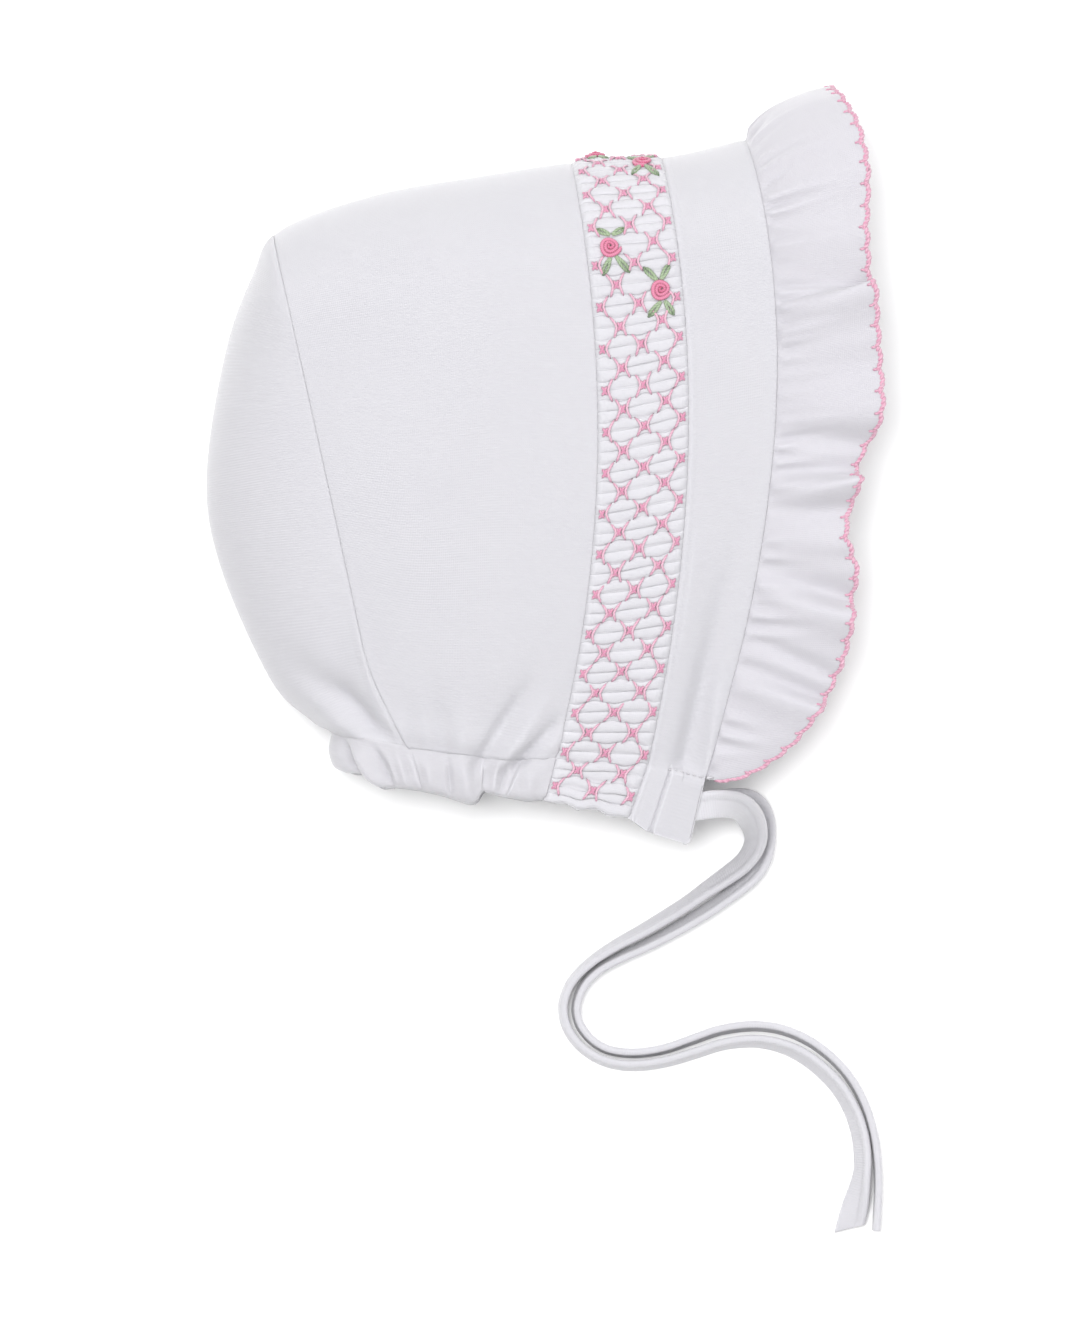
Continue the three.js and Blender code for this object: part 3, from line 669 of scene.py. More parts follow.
def node_places():
    """Pleat valley and share of the band's width of every node, and whether it is on the band's edge."""
    rows = []
    for column, (across, shift) in enumerate(NODE_COLUMNS):
        for valley in range(FIRST_NODE_PLEAT + shift, pleats - 1, PLEATS_PER_DIAMOND):
            rows.append((valley, across, column in (0, len(NODE_COLUMNS) - 1)))
    return rows


nodes = node_places()
print(pleats, "pleats and", len(nodes), "nodes")


# %% The pleated cloth
BAND_SAMPLES = np.array([0.0, 0.07, 0.2, 0.36, 0.5, 0.64, 0.8, 0.93])
PULL, PULL_PLEATS, PULL_MM = 0.34, 1.5, 1.7
PINCH = 0.38
SEAM_TUCK = 1.3
WAVER = 0.10
LOOSE_AT_HEM, HEM_WAVE = 2.5, 0.22
HEM_ROLL, HEM_HIDDEN = 1.0, 1.4


def pleat_spacing(u):
    """Columns crowd in the valleys, where a pleat turns most."""
    count = u * pleats * len(BAND_SAMPLES)
    whole = np.round(count).astype(int)
    return (whole // len(BAND_SAMPLES) + BAND_SAMPLES[whole % len(BAND_SAMPLES)]) / pleats


def node_pull(pleat, across):
    """How far stitches pull the cloth along the band, in pleats, and how hard they press it, from 0 to 1."""
    shift, press = np.zeros_like(pleat), np.zeros_like(pleat)
    for valley, place, on_edge in nodes:
        near = np.exp(-((across - place) * SMOCKED_WIDTH / PULL_MM) ** 2)
        beside = pleat - valley
        shift -= PULL * beside * np.exp(-(beside / PULL_PLEATS) ** 2) * near
        press += np.exp(-(beside / 0.9) ** 2) * near
    return shift, np.clip(press, 0, 1)


def pleat_relief(pleat, across, press):
    part = pleat - np.floor(pleat)
    round_top = np.sqrt(np.clip(1 - (2 * part - 1) ** 2, 0, 1)) ** 0.6
    edge = np.minimum(across, 1 - across) * SMOCKED_WIDTH
    uneven = 1 + 0.14 * np.sin(np.floor(pleat) * 2.4 + across * 4)
    return PLEAT_HEIGHT * uneven * round_top * (1 - PINCH * press) * ramp(edge, -0.3, SEAM_TUCK) + dip(edge)


def band_place(u, across):
    """A point of the smoothed band: u runs hem to hem, with the stitches' pull put in."""
    pleat = u * pleats
    shift, press = node_pull(pleat, across)
    loose = 1 + LOOSE_AT_HEM * ramp(np.abs(2 * u - 1), 0.91, 0.99)
    waver = WAVER * loose * np.sin(across * 5.1 + np.floor(pleat) * 1.9) * np.sin(pi * across)
    from_hem = np.minimum(pleat, pleats - pleat)
    hem_wave = np.sign(2 * u - 1) * HEM_WAVE * np.sin(across * 17 + 1) * np.sin(pi * across)
    hem_wave *= ramp(from_hem, 2, 0)
    moved = (pleat + (shift + waver) * ramp(from_hem, 0, 1.5) + hem_wave) / pleats
    return settle(head_skin(HEM_END * (2 * moved - 1), SMOCK_BACK + across)), press


def band_point(u, v, inner):
    across = tucked(v, SMOCKED_WIDTH)
    lying, press = band_place(u, across)
    flat = settle(head_skin(HEM_END * (2 * u - 1), SMOCK_BACK + across))
    normal = outward(lambda a, b: settle(head_skin(HEM_END * (2 * a - 1), SMOCK_BACK + b)), u, across)
    normal = seamed(normal, flat, np.minimum(across, 1 - across) * SMOCKED_WIDTH)
    raised = pleat_relief(u * pleats, across, press) * np.clip(lying[:, 2] / FLOOR_FADE, 0, 1)
    turned_in = rolled(np.minimum(u, 1 - u) * pleats * PLEAT_PITCH, HEM_ROLL)[:, None]
    last_share = HEM_END * (1 - HEM_HIDDEN / band_half)
    back_from_hem = settle(head_skin(last_share * (2 * u - 1), SMOCK_BACK + across))
    inside = back_from_hem - normal * (SMOCKED_WALL + turned_in * 0.8)
    return np.where(inner[:, None], inside, lying + normal * (raised[:, None] - turned_in))


bm = wall_of_cloth(
    columns=pleats * len(BAND_SAMPLES), rows=30, place=band_point, spacing=pleat_spacing,
    spread=lambda u, v: np.column_stack([u * 2 * band_half * 1.6, v * SMOCKED_WIDTH]),
    hem=lambda u, v: (u < 1e-6) | (u > 1 - 1e-6), wall=SMOCKED_WALL)
smocked_band = link("smocked_band_cloth", bm, "smocked_jersey", "smocked_band")

# %% [markdown]
# ## The front band
# The plain band in front of the smocking is doubled cloth. A narrow corded ridge runs beside the smocking,
# the band's foot is turned up and stitched, and its two layers part in a slit near the chin corner.

# %% The front band
RIDGE_AT, RIDGE_WIDE, RIDGE_LIFT = 0.8, 0.9, 0.16
BAND_CREASES = [
    (678, 800, 738, 520, 4.2, -2.8),
    (704, 800, 722, 640, 2.2, 0.8),
    (690, 560, 668, 700, 4.0, 0.5),
    (718, 330, 722, 200, 6.0, -0.5),
]
SLIT = [(670, 771), (657, 811), (650, 832)]
SLIT_STEP = 0.9
FOOT_LIFT = 0.35
FOOT_HANG, FOOT_CORNER, FOOT_DROP = 1.7, 1.5, 187


def slit_step(points):
    """The layer in front of the slit lies over the one behind it."""
    total = np.zeros(len(points))
    for (x0, y0), (x1, y1) in zip(SLIT, SLIT[1:]):
        along, beside = beside_line(points, x0, y0, x1, y1)
        here = (along >= 0) & (along < 1)
        step = ramp(-beside, -0.15, 0.15) - 1.1 * bump(beside - 0.3, 0.42)
        total[here] = (step * bump(beside + 0.3, 7))[here]
    return SLIT_STEP * total * ramp(points[:, 2], *SHOWING)


def front_relief(u, v, points):
    across = tucked(v, BAND_WIDTH, last=0) * BAND_WIDTH
    ridge = RIDGE_LIFT * (bump(across - RIDGE_AT, RIDGE_WIDE) - 0.4 * bump(across - RIDGE_AT - 1.0, 0.7))
    along = np.abs(2 * u - 1) * HEM_END
    creased = creases(points, BAND_CREASES) * ramp(along, 1.004, 0.992)
    soft = creased + ripple(points, *BAND_RIPPLE) + slit_step(points)
    below_ruffle = ramp(along, 1, 1.01)
    turned_up = FOOT_LIFT * ramp(along, 0.998, 1.001)
    return (ridge + soft * ramp(across, 1, 3) + turned_up * ramp(across, 0, 1)
            + dip(BAND_WIDTH - across) * (1 - below_ruffle) + dip(across))


def front_skin(u, v):
    """The band's foot hangs a little lower between its ends, and its front corner is round."""
    corner = rolled((1 - v) * BAND_WIDTH, FOOT_CORNER)
    foot = HEM_END + (FOOT_HANG * ramp(v, 0, 0.38) * ramp(v, 1.1, 0.9) - corner) / FOOT_DROP
    share = 2 * u - 1
    past = np.maximum(np.abs(share) - 1 / HEM_END, 0) / (1 - 1 / HEM_END)
    across = SMOCK_FRONT + tucked(v, BAND_WIDTH, last=0)
    return head_skin(np.sign(share) * (np.abs(share) * HEM_END + past * (foot - HEM_END)), across)


bm = wall_of_cloth(
    columns=420, rows=64,
    place=lambda u, v, inner: laid_cloth(
        front_skin, CLOTH_WALL, front_relief, lambda a, b: np.minimum(b, 1 - b) * BAND_WIDTH, u, v, inner),
    spread=lambda u, v: np.column_stack([(2 * u - 1) * half_arch(SMOCK_FRONT), v * BAND_WIDTH]),
    hem=lambda u, v: (np.abs(2 * u - 1) * HEM_END > 1.003) & (v > 1e-6), wall=CLOTH_WALL)
front_band = link("front_band_cloth", bm, "white_jersey", "front_band")

# %% [markdown]
# ## The casing
# The neck is gathered by elastic in a casing that runs from the smocking round the nape to the smocking. It
# puffs out between deep folds, and its lobes hang a little below the neck.

# %% The casing
# Each row: place at the top and at the hem, from the nape, 0, to the smocking, 1, then spread and lift in mm.
CASING_FOLDS = [
    (0.045, 0.075, 0.055, 1.6), (0.105, 0.150, 0.020, -2.0), (0.150, 0.200, 0.036, 1.6),
    (0.205, 0.256, 0.020, -1.9), (0.300, 0.330, 0.045, 0.5), (0.385, 0.440, 0.010, -0.6),
    (0.490, 0.505, 0.050, 1.1), (0.575, 0.592, 0.018, -0.9),
    (0.640, 0.668, 0.044, 1.7), (0.785, 0.780, 0.022, 0.8), (0.830, 0.812, 0.016, -0.8),
    (0.945, 0.925, 0.045, 0.6),
]
# How far the lower edge hangs below the neck's line there, in mm.
CASING_HANG = [
    (0.00, -0.8), (0.10, -0.4), (0.14, -1.1), (0.17, 0.3), (0.20, 1.3), (0.22, 1.0), (0.24, 0.1),
    (0.42, -0.2), (0.50, 0.0), (0.56, 0.3), (0.62, 0.9), (0.68, 1.6), (0.715, 0.9), (0.735, -1.8),
    (0.76, -1.6), (0.82, -0.8),
    (0.90, 0.0), (0.94, 0.4), (1.00, -0.3),
]
# Two sharp folds with a hollow between them: each at its top and its hem.
HOLLOW_START, HOLLOW_END = (0.722, 0.730), (0.885, 0.842)
HOLLOW_DEPTH, FOLD_SHARPNESS = 1.7, 0.004
CASING_NAPE_SHARE = 0.24
CASING_WALL = 2.2
CASING_PUFF = 1.5
CASING_ROLL = 2.4
CASING_LENGTH = 118


def casing_point(u, v, inner):
    """The inner face stops short of the hem, so that the rim stays out of sight."""
    return laid_cloth(casing_skin, CASING_WALL, casing_relief, lambda a, b: (1 - b) * CASING_HEIGHT, u,
                      np.where(inner, v + (1 - v) * HEM_HIDDEN / CASING_HEIGHT, v), inner)


def casing_skin(u, v):
    around, share = 2 * u - 1, HEM_END + (NECK_END - HEM_END) * tucked(v, CASING_HEIGHT, first=0)
    size = np.abs(around)
    place = BACK_SEAM + (SMOCK_BACK - BACK_SEAM) * (size - CASING_NAPE_SHARE) / (1 - CASING_NAPE_SHARE)
    side = head_skin(np.sign(around) * share, np.maximum(place, BACK_SEAM))
    nape = back_skin(share, np.clip(around / CASING_NAPE_SHARE, -1, 1))
    points = np.where((size < CASING_NAPE_SHARE)[:, None], nape, side)
    points[:, 1] -= eased(CASING_HANG, size, 0.01) * (1 - v)
    return points


def casing_relief(u, v, points):
    size = np.abs(2 * u - 1)
    folds = sum(lift * bump(size - hem - (top - hem) * v, spread) for top, hem, spread, lift in CASING_FOLDS)
    wrinkles = 0.22 * np.sin(size * 61 + 3 * v) * np.sin(size * 23)
    puff = np.where(v < 0.5, np.sin(pi * np.clip(v, 0, 0.5)) ** 0.5, ramp(v, 1.02, 0.5))
    past_start, past_end = (size - hem - (top - hem) * v for top, hem in (HOLLOW_START, HOLLOW_END))
    sharp = (-FOLD_SHARPNESS, FOLD_SHARPNESS)
    hollow = ramp(past_start, *sharp) - ramp(past_end, *sharp)
    crossing = creases(points, SIDE_CREASES) * ramp(v, 0.4, 1)
    turned_in = rolled(v * CASING_HEIGHT, CASING_ROLL)
    below = (1 - tucked(v, CASING_HEIGHT, first=0)) * CASING_HEIGHT
    at_neck = -neck_dip(points) * bump(np.maximum(below, 0), 2.2) + TUCK_SLOPE * np.minimum(below, 0)
    puffed = CASING_PUFF * (0.3 + 0.7 * folds + wrinkles) - HOLLOW_DEPTH * hollow
    return puffed * puff + crossing + at_neck - turned_in


bm = wall_of_cloth(
    columns=520, rows=26,
    place=casing_point,
    spread=lambda u, v: np.column_stack([v * CASING_HEIGHT, (2 * u - 1) * CASING_LENGTH]),
    hem=lambda u, v: v < 1e-6, wall=CASING_WALL)
nape_casing = link("nape_casing_cloth", bm, "casing_jersey", "nape_casing")

# %% [markdown]
# ## The ruffle
# The ruffle is one strip, gathered where it is sewn in. It stands up from its seam, bends forward again and
# falls in flounces. Small gathers fade out about half way to the edge; the flounces grow towards the edge,
# and two of them lap over their neighbours.

# %% The ruffle
RUFFLE_WALL = 1.2
RUFFLE_SEAM_ANGLE, RUFFLE_EDGE_ANGLE = 34, 2
RUFFLE_TAPER_START, RUFFLE_CHIN_SHARE = 0.83, 0.04
GATHER_PITCH, GATHER_HEIGHT, GATHER_REACH = 5.4, 1.25, 0.52
FOLD_START = 0.7
CROWN_PUFF, CROWN_PUFF_SPREAD = 1.5, 0.16
SEAM_LOOK = 0.1
SHELL_PITCH, SHELL_BOW, SHELL_FADE = 5.3, 0.85, 12
EDGE_SAMPLES = 3000
# How much of its full reach the ruffle shows, from the crown, 0, to the chin, 1.
RUFFLE_SHOWN = [
    (0.00, 0.885), (0.05, 0.92), (0.10, 0.985), (0.15, 1.04), (0.20, 1.03), (0.25, 0.945), (0.275, 0.90),
    (0.35, 0.88), (0.40, 0.925), (0.45, 0.95), (0.50, 0.98), (0.55, 0.995), (0.575, 0.95), (0.60, 0.845),
    (0.625, 0.79), (0.645, 0.84), (0.675, 0.775), (0.70, 0.75), (0.725, 0.84), (0.75, 0.94), (0.775, 0.955),
    (0.80, 0.93), (0.825, 0.945), (0.85, 0.96), (0.90, 0.94), (0.95, 0.885), (0.98, 0.83), (1.00, 0.80),
]
# Each row: place at the seam and at the edge, from the crown, 0, to the chin, 1, then its spread, and its
# height and how far it swings towards the chin, both in mm at the edge.
FLOUNCES = [
    (0.060, 0.050, 0.050, 1.0, 0.0),
    (0.235, 0.240, 0.035, -1.2, 0.0),
    (0.290, 0.290, 0.035, 1.2, 0.0),
    (0.346, 0.345, 0.034, -3.0, 4.0),
    (0.385, 0.382, 0.040, 4.6, -3.6),
    (0.475, 0.480, 0.050, -1.0, 0.0),
    (0.530, 0.540, 0.035, 1.4, 0.0),
    (0.560, 0.584, 0.026, -4.4, 0.8),
    (0.606, 0.612, 0.018, -3.8, 2.2),
    (0.636, 0.646, 0.022, 4.4, -2.6),
    (0.668, 0.672, 0.020, -3.0, 0.0),
    (0.700, 0.712, 0.026, 2.4, 0.0),
    (0.742, 0.770, 0.020, -4.2, 2.6),
    (0.768, 0.808, 0.024, 4.0, -2.2),
    (0.822, 0.866, 0.014, -2.6, 0.8),
    (0.862, 0.886, 0.014, -3.6, 1.8),
    (0.884, 0.912, 0.022, 4.0, -2.4),
]


def ruffle_reach(size):
    along = np.clip((size - RUFFLE_TAPER_START) / (1 - RUFFLE_TAPER_START), 0, 1)
    shown = eased(RUFFLE_SHOWN, size, 0.008)
    return RUFFLE_WIDTH * shown * np.maximum(np.sqrt(1 - along ** 2), RUFFLE_CHIN_SHARE)


def ruffle_sweep(u, v, shells=0):
    """The ruffle's skin. shells is how far its edge bows out beyond its reach, in mm."""
    share = 2 * u - 1
    size = np.abs(share)
    seam, behind = head_skin(share, RUFFLE_SEAM), head_skin(share, RUFFLE_SEAM - SEAM_LOOK)
    forward = seam - behind
    forward /= np.linalg.norm(forward, axis=1)[:, None]
    along = head_skin(share + STEP, RUFFLE_SEAM) - head_skin(share - STEP, RUFFLE_SEAM)
    along /= np.linalg.norm(along, axis=1)[:, None]
    out = np.cross(along, forward)
    height, swing = (sum(row[k] * bump(size - row[0] - (row[1] - row[0]) * v, row[2]) for row in FLOUNCES)
                     for k in (3, 4))
    v = v - TUCK / RUFFLE_WIDTH * (1 - v)
    reach = ruffle_reach(size) * v + shells * np.maximum(v, 0) ** SHELL_FADE
    v = np.maximum(v, 0)
    tilt = np.radians(RUFFLE_SEAM_ANGLE + (RUFFLE_EDGE_ANGLE - RUFFLE_SEAM_ANGLE) * v / 2)
    puff = CROWN_PUFF * bump(size, CROWN_PUFF_SPREAD) * np.sin(pi * v ** 0.7) ** 0.8
    raised = reach * np.sin(tilt) + puff + height * ruffle_reach(size) / RUFFLE_WIDTH * v ** FOLD_START
    sideways = np.sign(share) * swing * v ** 1.5
    lifted = seam + forward * (reach * np.cos(tilt))[:, None] + out * raised[:, None]
    return lifted + along * sideways[:, None]


even_u = np.linspace(0, 1, EDGE_SAMPLES)
plain_edge = settle(ruffle_sweep(even_u, np.ones(EDGE_SAMPLES)))
plain_run = np.concatenate([[0], np.cumsum(np.linalg.norm(np.diff(plain_edge, axis=0), axis=1))])
shell_count = round(plain_run[-1] / SHELL_PITCH)
print("shells along the edge:", shell_count)


def ruffle_skin(u, v):
    """The edge is drawn in at each tick of the shell stitch and bows out between them."""
    phase = np.interp(u, even_u, plain_run) / plain_run[-1] * shell_count
    return ruffle_sweep(u, v, SHELL_BOW * (np.abs(np.sin(pi * phase)) ** 0.7 - 0.5))


def ruffle_relief(u, v, points):
    run = (2 * u - 1) * half_arch(RUFFLE_SEAM)
    fade = ramp(v, GATHER_REACH * (1.2 + 0.5 * np.sin(run * 0.55)), 0.06)
    turns = run / GATHER_PITCH
    wave = np.sin(turns * tau + 1.6 * np.sin(run * 0.31)) + 0.3 * np.sin(turns * 1.7 * tau)
    long_wave = 0.5 * np.sin(run * 0.43 + 0.8) * np.sin(run * 0.17) * v
    uneven = 0.65 + 0.35 * np.sin(run * 0.19 + 1)
    return 0.55 * GATHER_HEIGHT * uneven * wave * fade * ramp(v, 0, 0.08) + long_wave + dip(v * RUFFLE_WIDTH)


def ruffle_point(u, v, inner):
    """Both faces of the ruffle follow its waves, because it is a single thin layer."""
    lying = settle(ruffle_skin(u, v))
    normal = seamed(outward(lambda a, b: settle(ruffle_skin(a, b)), u, v), lying, v * RUFFLE_WIDTH)
    raised = ruffle_relief(u, v, lying) * np.clip(lying[:, 2] / FLOOR_FADE, 0, 1)
    return lying + normal * (raised - np.where(inner, RUFFLE_WALL, 0))[:, None]


bm = wall_of_cloth(
    columns=760, rows=44, place=ruffle_point,
    spread=lambda u, v: np.column_stack([(2 * u - 1) * half_arch(RUFFLE_SEAM) * 1.5, v * RUFFLE_WIDTH]),
    hem=lambda u, v: (v > 1 - 1e-6) | (u < 1e-6) | (u > 1 - 1e-6), wall=RUFFLE_WALL)
ruffle = link("ruffle_cloth", bm, "ruffle_jersey", "ruffle")

# %% [markdown]
# ## Thread
# All thread is tube: rings of points round a path, with a grid wrapped on to them. Each tube also keeps how
# dark it is from place to place, deeper dye and painted shade, which the thread material reads.

# %% Tubes of thread
THREAD_LIFT_FLOOR = 0.05


def tube_rings(path, up, radius, sides, flat=0.8):
    """Rings round a path in mm. up points away from the cloth, and flat presses the thread down on to it."""
    heading = np.gradient(path, axis=0)
    side = np.cross(heading, up)
    side /= np.maximum(np.linalg.norm(side, axis=1), TINY)[:, None]
    over = np.cross(side, heading)
    over /= np.maximum(np.linalg.norm(over, axis=1), TINY)[:, None]
    angle = np.linspace(0, tau, sides, endpoint=False)[None, :, None]
    spread = side[:, None] * np.cos(angle) + over[:, None] * np.sin(angle) * flat
    return path[:, None] + spread * np.asarray(radius)[:, None, None]


def thread_bmesh():
    bm = bmesh.new()
    bm.loops.layers.uv.new("cloth")
    # A layer for how dark the thread is: deeper dye and painted shade.
    bm.verts.layers.float.new("deep")
    return bm


def add_tube(bm, rings, deep):
    """Wraps one grid on to rings of points. The last argument holds how dark each ring is, from 0 to 1: deeper dye,
    and painted shade where the thread dives into the cloth.
    """
    count, sides = rings.shape[:2]
    steps = np.linalg.norm(np.diff(rings.mean(axis=1), axis=0), axis=1)
    run = np.concatenate([[0], np.cumsum(steps)])
    girth = np.linalg.norm(rings[count // 2, 0] - rings[count // 2, sides // 2]) * pi
    uv, deep_layer = bm.loops.layers.uv["cloth"], bm.verts.layers.float["deep"]
    points = to_row(rings.reshape(-1, 3)).reshape(count, sides, 3)
    points[:, :, 2] = np.maximum(points[:, :, 2], THREAD_LIFT_FLOOR * MM)
    for vert in bmesh.ops.create_grid(bm, x_segments=sides, y_segments=count - 1, size=0.5)["verts"]:
        around, row = round((vert.co.x + 0.5) * sides), round((vert.co.y + 0.5) * (count - 1))
        vert[deep_layer] = deep[row]
        for loop in vert.link_loops:
            loop[uv].uv = (run[row], around / sides * girth)
        vert.co = points[row, around % sides]


def close_tubes(bm):
    bmesh.ops.remove_doubles(bm, verts=bm.verts, dist=1e-7)
    bmesh.ops.recalc_face_normals(bm, faces=bm.faces)


def tapered(count, radius, ends=1):
    """A radius for each ring that comes to a point at both ends, in the given number of rings."""
    place = np.arange(count)
    return radius * np.minimum(1, np.sqrt(np.minimum(place, count - 1 - place) / ends))


# %% [markdown]
# The smocking stitches lie on the pleats. Each node has a curved strand on either side, bowed towards it,
# and a knot of two crossed strands, darker in the middle with deeper pink and painted shade. The strands dive
# into the valleys at their ends, and painted shade darkens them there.

# %% Places on the smocked band
NODE_LIFT = 0.55


def smocked_place(pleat, across, lift):
    """Points in mm over the smocked band, and the directions away from it."""
    u = np.asarray(pleat) / pleats
    flat = settle(head_skin(HEM_END * (2 * u - 1), SMOCK_BACK + np.asarray(across)))
    normal = outward(lambda a, b: settle(head_skin(HEM_END * (2 * a - 1), SMOCK_BACK + b)), u, across)
    held = np.clip(flat[:, 2] / FLOOR_FADE, 0, 1)
    return flat + normal * (lift * held)[:, None], normal


# %% Smocking stitches
STRAND_HALF, STRAND_WAIST, STRAND_ENDS, STRAND_TAPER = 3.1, 0.78, 2.15, 0.3
STRAND_CURVE = 1.5
STRAND_RADIUS, STRAND_SIDES, STRAND_STEPS = 0.31, 6, 6
KNOT_HALF, KNOT_WIDE, KNOT_RADIUS = 1.2, 0.66, 0.38
bm = thread_bmesh()
random = np.random.default_rng(7)


def stitch(pleat, across, along_mm, across_mm, lift, radius, deep):
    """One strand beside a place of the band, through points given in mm along and across it."""
    path, up = smocked_place(pleat + along_mm / PLEAT_PITCH, across + across_mm / SMOCKED_WIDTH, lift)
    add_tube(bm, tube_rings(path, up, tapered(len(path), radius), STRAND_SIDES), deep)


rose_nodes = [(72, 0.27), (76, 0.74), (88, 0.27), (92, 0.74), (68, 0.74), (56, 0.27), (52, 0.74)]
t = np.linspace(-1, 1, STRAND_STEPS + 1)
for valley, across, on_edge in nodes:
    if any(valley == rose[0] and abs(across - rose[1]) < 0.05 for rose in rose_nodes):
        continue
    jitter = random.uniform(-1, 1, 4)
    long = STRAND_HALF * (0.93 + 0.12 * jitter[0])
    for side in (-1, 1):
        beside = side * KNOT_WIDE * t + 0.18 * jitter[2]
        # Knots are darker in the middle, partly deeper pink and partly painted shade, and strands darker towards
        # their ends with painted shade where they dive in.
        stitch(valley, across, KNOT_HALF * t, beside, NODE_LIFT + 0.45 - 0.35 * t ** 2,
               KNOT_RADIUS, 0.95 - 0.35 * np.abs(t))
        if on_edge and (side > 0) == (across > 0.5):
            continue
        ends = STRAND_ENDS - STRAND_TAPER * t * np.sign(valley - pleats / 2)
        bow = STRAND_WAIST + (ends - STRAND_WAIST) * np.abs(t) ** STRAND_CURVE + 0.28 * jitter[1] * t
        stitch(valley, across, long * t, side * bow, NODE_LIFT + 0.62 - 0.75 * t ** 4, STRAND_RADIUS,
               0.1 + 0.6 * np.abs(t) ** 3 + 0.2 * np.maximum(t, 0))
close_tubes(bm)
smocking = link("smocking_thread", bm, "pink_thread")

# %% [markdown]
# ## Roses and leaves
# Each rose is a bullion stitch: one wrapped coil that winds in to the middle and rises as it goes. Its
# leaves are daisy loops above and below it, each held by a small stitch at its tip.

# %% Roses
# Each row: pleat and share of the band's width of the rose's middle, then a turn in degrees.
ROSES = [
    (88.2, 0.25, 0), (93.0, 0.76, 25), (76.6, 0.77, 60), (72.0, 0.26, 90), (67.4, 0.77, 120),
    (55.8, 0.25, 180), (51.0, 0.76, 205),
]
ROSE_TURNS, ROSE_OUTER, ROSE_INNER = 2.7, 2.45, 0.12
ROSE_COIL, ROSE_RISE, ROSE_BASE = 0.54, 1.0, 1.15
ROSE_STEPS, ROSE_SIDES = 96, 10

bm = thread_bmesh()
for pleat, across, turned in ROSES:
    t = np.linspace(0, 1, ROSE_STEPS + 1)
    angle = radians(turned) + t * tau * ROSE_TURNS
    reach = ROSE_OUTER + (ROSE_INNER - ROSE_OUTER) * t ** 0.9
    reach *= 1 + 0.05 * np.cos(3 * angle)
    path, up = smocked_place(pleat + reach * np.sin(angle) / PLEAT_PITCH,
                             across + reach * np.cos(angle) / SMOCKED_WIDTH, ROSE_BASE + ROSE_RISE * t)
    radius = tapered(ROSE_STEPS + 1, ROSE_COIL, ends=3) * (1 - 0.3 * t)
    add_tube(bm, tube_rings(path, up, radius, ROSE_SIDES, flat=1.0), 0.05 + 0.75 * t ** 2)
close_tubes(bm)
roses = link("roses", bm, "rose_thread")

# %% Leaves
# Each row: pleat and share of the loop's foot, then pleat and share of its tip.
LEAVES = [
    (87.0, 0.27, 86.3, 0.14), (87.0, 0.29, 86.4, 0.42), (89.3, 0.24, 90.8, 0.15), (89.2, 0.30, 90.8, 0.42),
    (92.1, 0.73, 90.8, 0.61), (92.1, 0.77, 90.8, 0.87), (94.2, 0.75, 95.4, 0.61), (94.2, 0.79, 95.6, 0.87),
    (77.6, 0.73, 78.9, 0.64), (77.6, 0.79, 79.5, 0.91), (75.4, 0.74, 74.2, 0.63), (75.4, 0.79, 74.2, 0.90),
    (72.9, 0.26, 74.0, 0.19), (72.9, 0.30, 74.0, 0.38),
]
LEAF_WIDE, LEAF_THREAD, LEAF_STEPS, LEAF_LIFT = 0.62, 0.40, 18, 1.25

bm = thread_bmesh()
# A leaf's pleat and the pleat of its mirror on the hidden half add up to this.
MIRROR_SUM = 144
mirrored = [(MIRROR_SUM - a, b, MIRROR_SUM - c, d) for a, b, c, d in LEAVES]
for foot_pleat, foot, tip_pleat, tip in LEAVES + mirrored:
    foot_mm = np.array([foot_pleat * PLEAT_PITCH, foot * SMOCKED_WIDTH])
    tip_mm = np.array([tip_pleat * PLEAT_PITCH, tip * SMOCKED_WIDTH])
    line = tip_mm - foot_mm
    beside = np.array([-line[1], line[0]]) / np.linalg.norm(line)
    t = np.linspace(0, tau, LEAF_STEPS + 1)
    out = (1 - np.cos(t)) / 2
    loop_mm = foot_mm + line * out[:, None] + beside * (LEAF_WIDE * np.sin(t) * out ** 0.5)[:, None]
    pleat, across = loop_mm[:, 0] / PLEAT_PITCH, loop_mm[:, 1] / SMOCKED_WIDTH
    path, up = smocked_place(pleat, across, LEAF_LIFT - 0.35 * out)
    rings = tube_rings(path, up, tapered(LEAF_STEPS + 1, LEAF_THREAD), STRAND_SIDES)
    # Each loop darkens towards its tip, and its tack stitch is dark throughout: painted shade where the thread dives
    # in.
    add_tube(bm, rings, 0.1 + 0.5 * out ** 3)
    tack_mm = tip_mm + line / np.linalg.norm(line) * np.linspace(-0.45, 0.75, 5)[:, None]
    path, up = smocked_place(tack_mm[:, 0] / PLEAT_PITCH, tack_mm[:, 1] / SMOCKED_WIDTH,
                             LEAF_LIFT - 0.1 - 0.5 * np.linspace(0, 1, 5) ** 2)
    add_tube(bm, tube_rings(path, up, tapered(5, LEAF_THREAD * 0.8), STRAND_SIDES), np.full(5, 0.9))
close_tubes(bm)
leaves = link("leaves", bm, "leaf_thread")

# %% [markdown]
# ## The shell edging
# A corded stitch covers the ruffle's edge: two strands twisted together, bowed out a little into shells,
# with a small tick stitched in between every two shells.

# %% Shell edging
CORD_STRAND, CORD_TWIST, CORD_PITCH, CORD_STEP, CORD_OUT = 0.50, 0.28, 1.25, 0.17, -0.06
TICK_LONG, TICK_RADIUS = 1.3, 0.34


def edge_middle(u, in_mm):
    """The middle of the ruffle's edge, or of the wall at a distance in from it, with the outward direction."""
    v = 1 - in_mm / np.maximum(ruffle_reach(2 * u - 1), 1)
    top, under = ruffle_point(u, v, np.zeros(len(u), bool)), ruffle_point(u, v, np.ones(len(u), bool))
    return top * 0.62 + under * 0.38, (top - under) / np.linalg.norm(top - under, axis=1)[:, None]


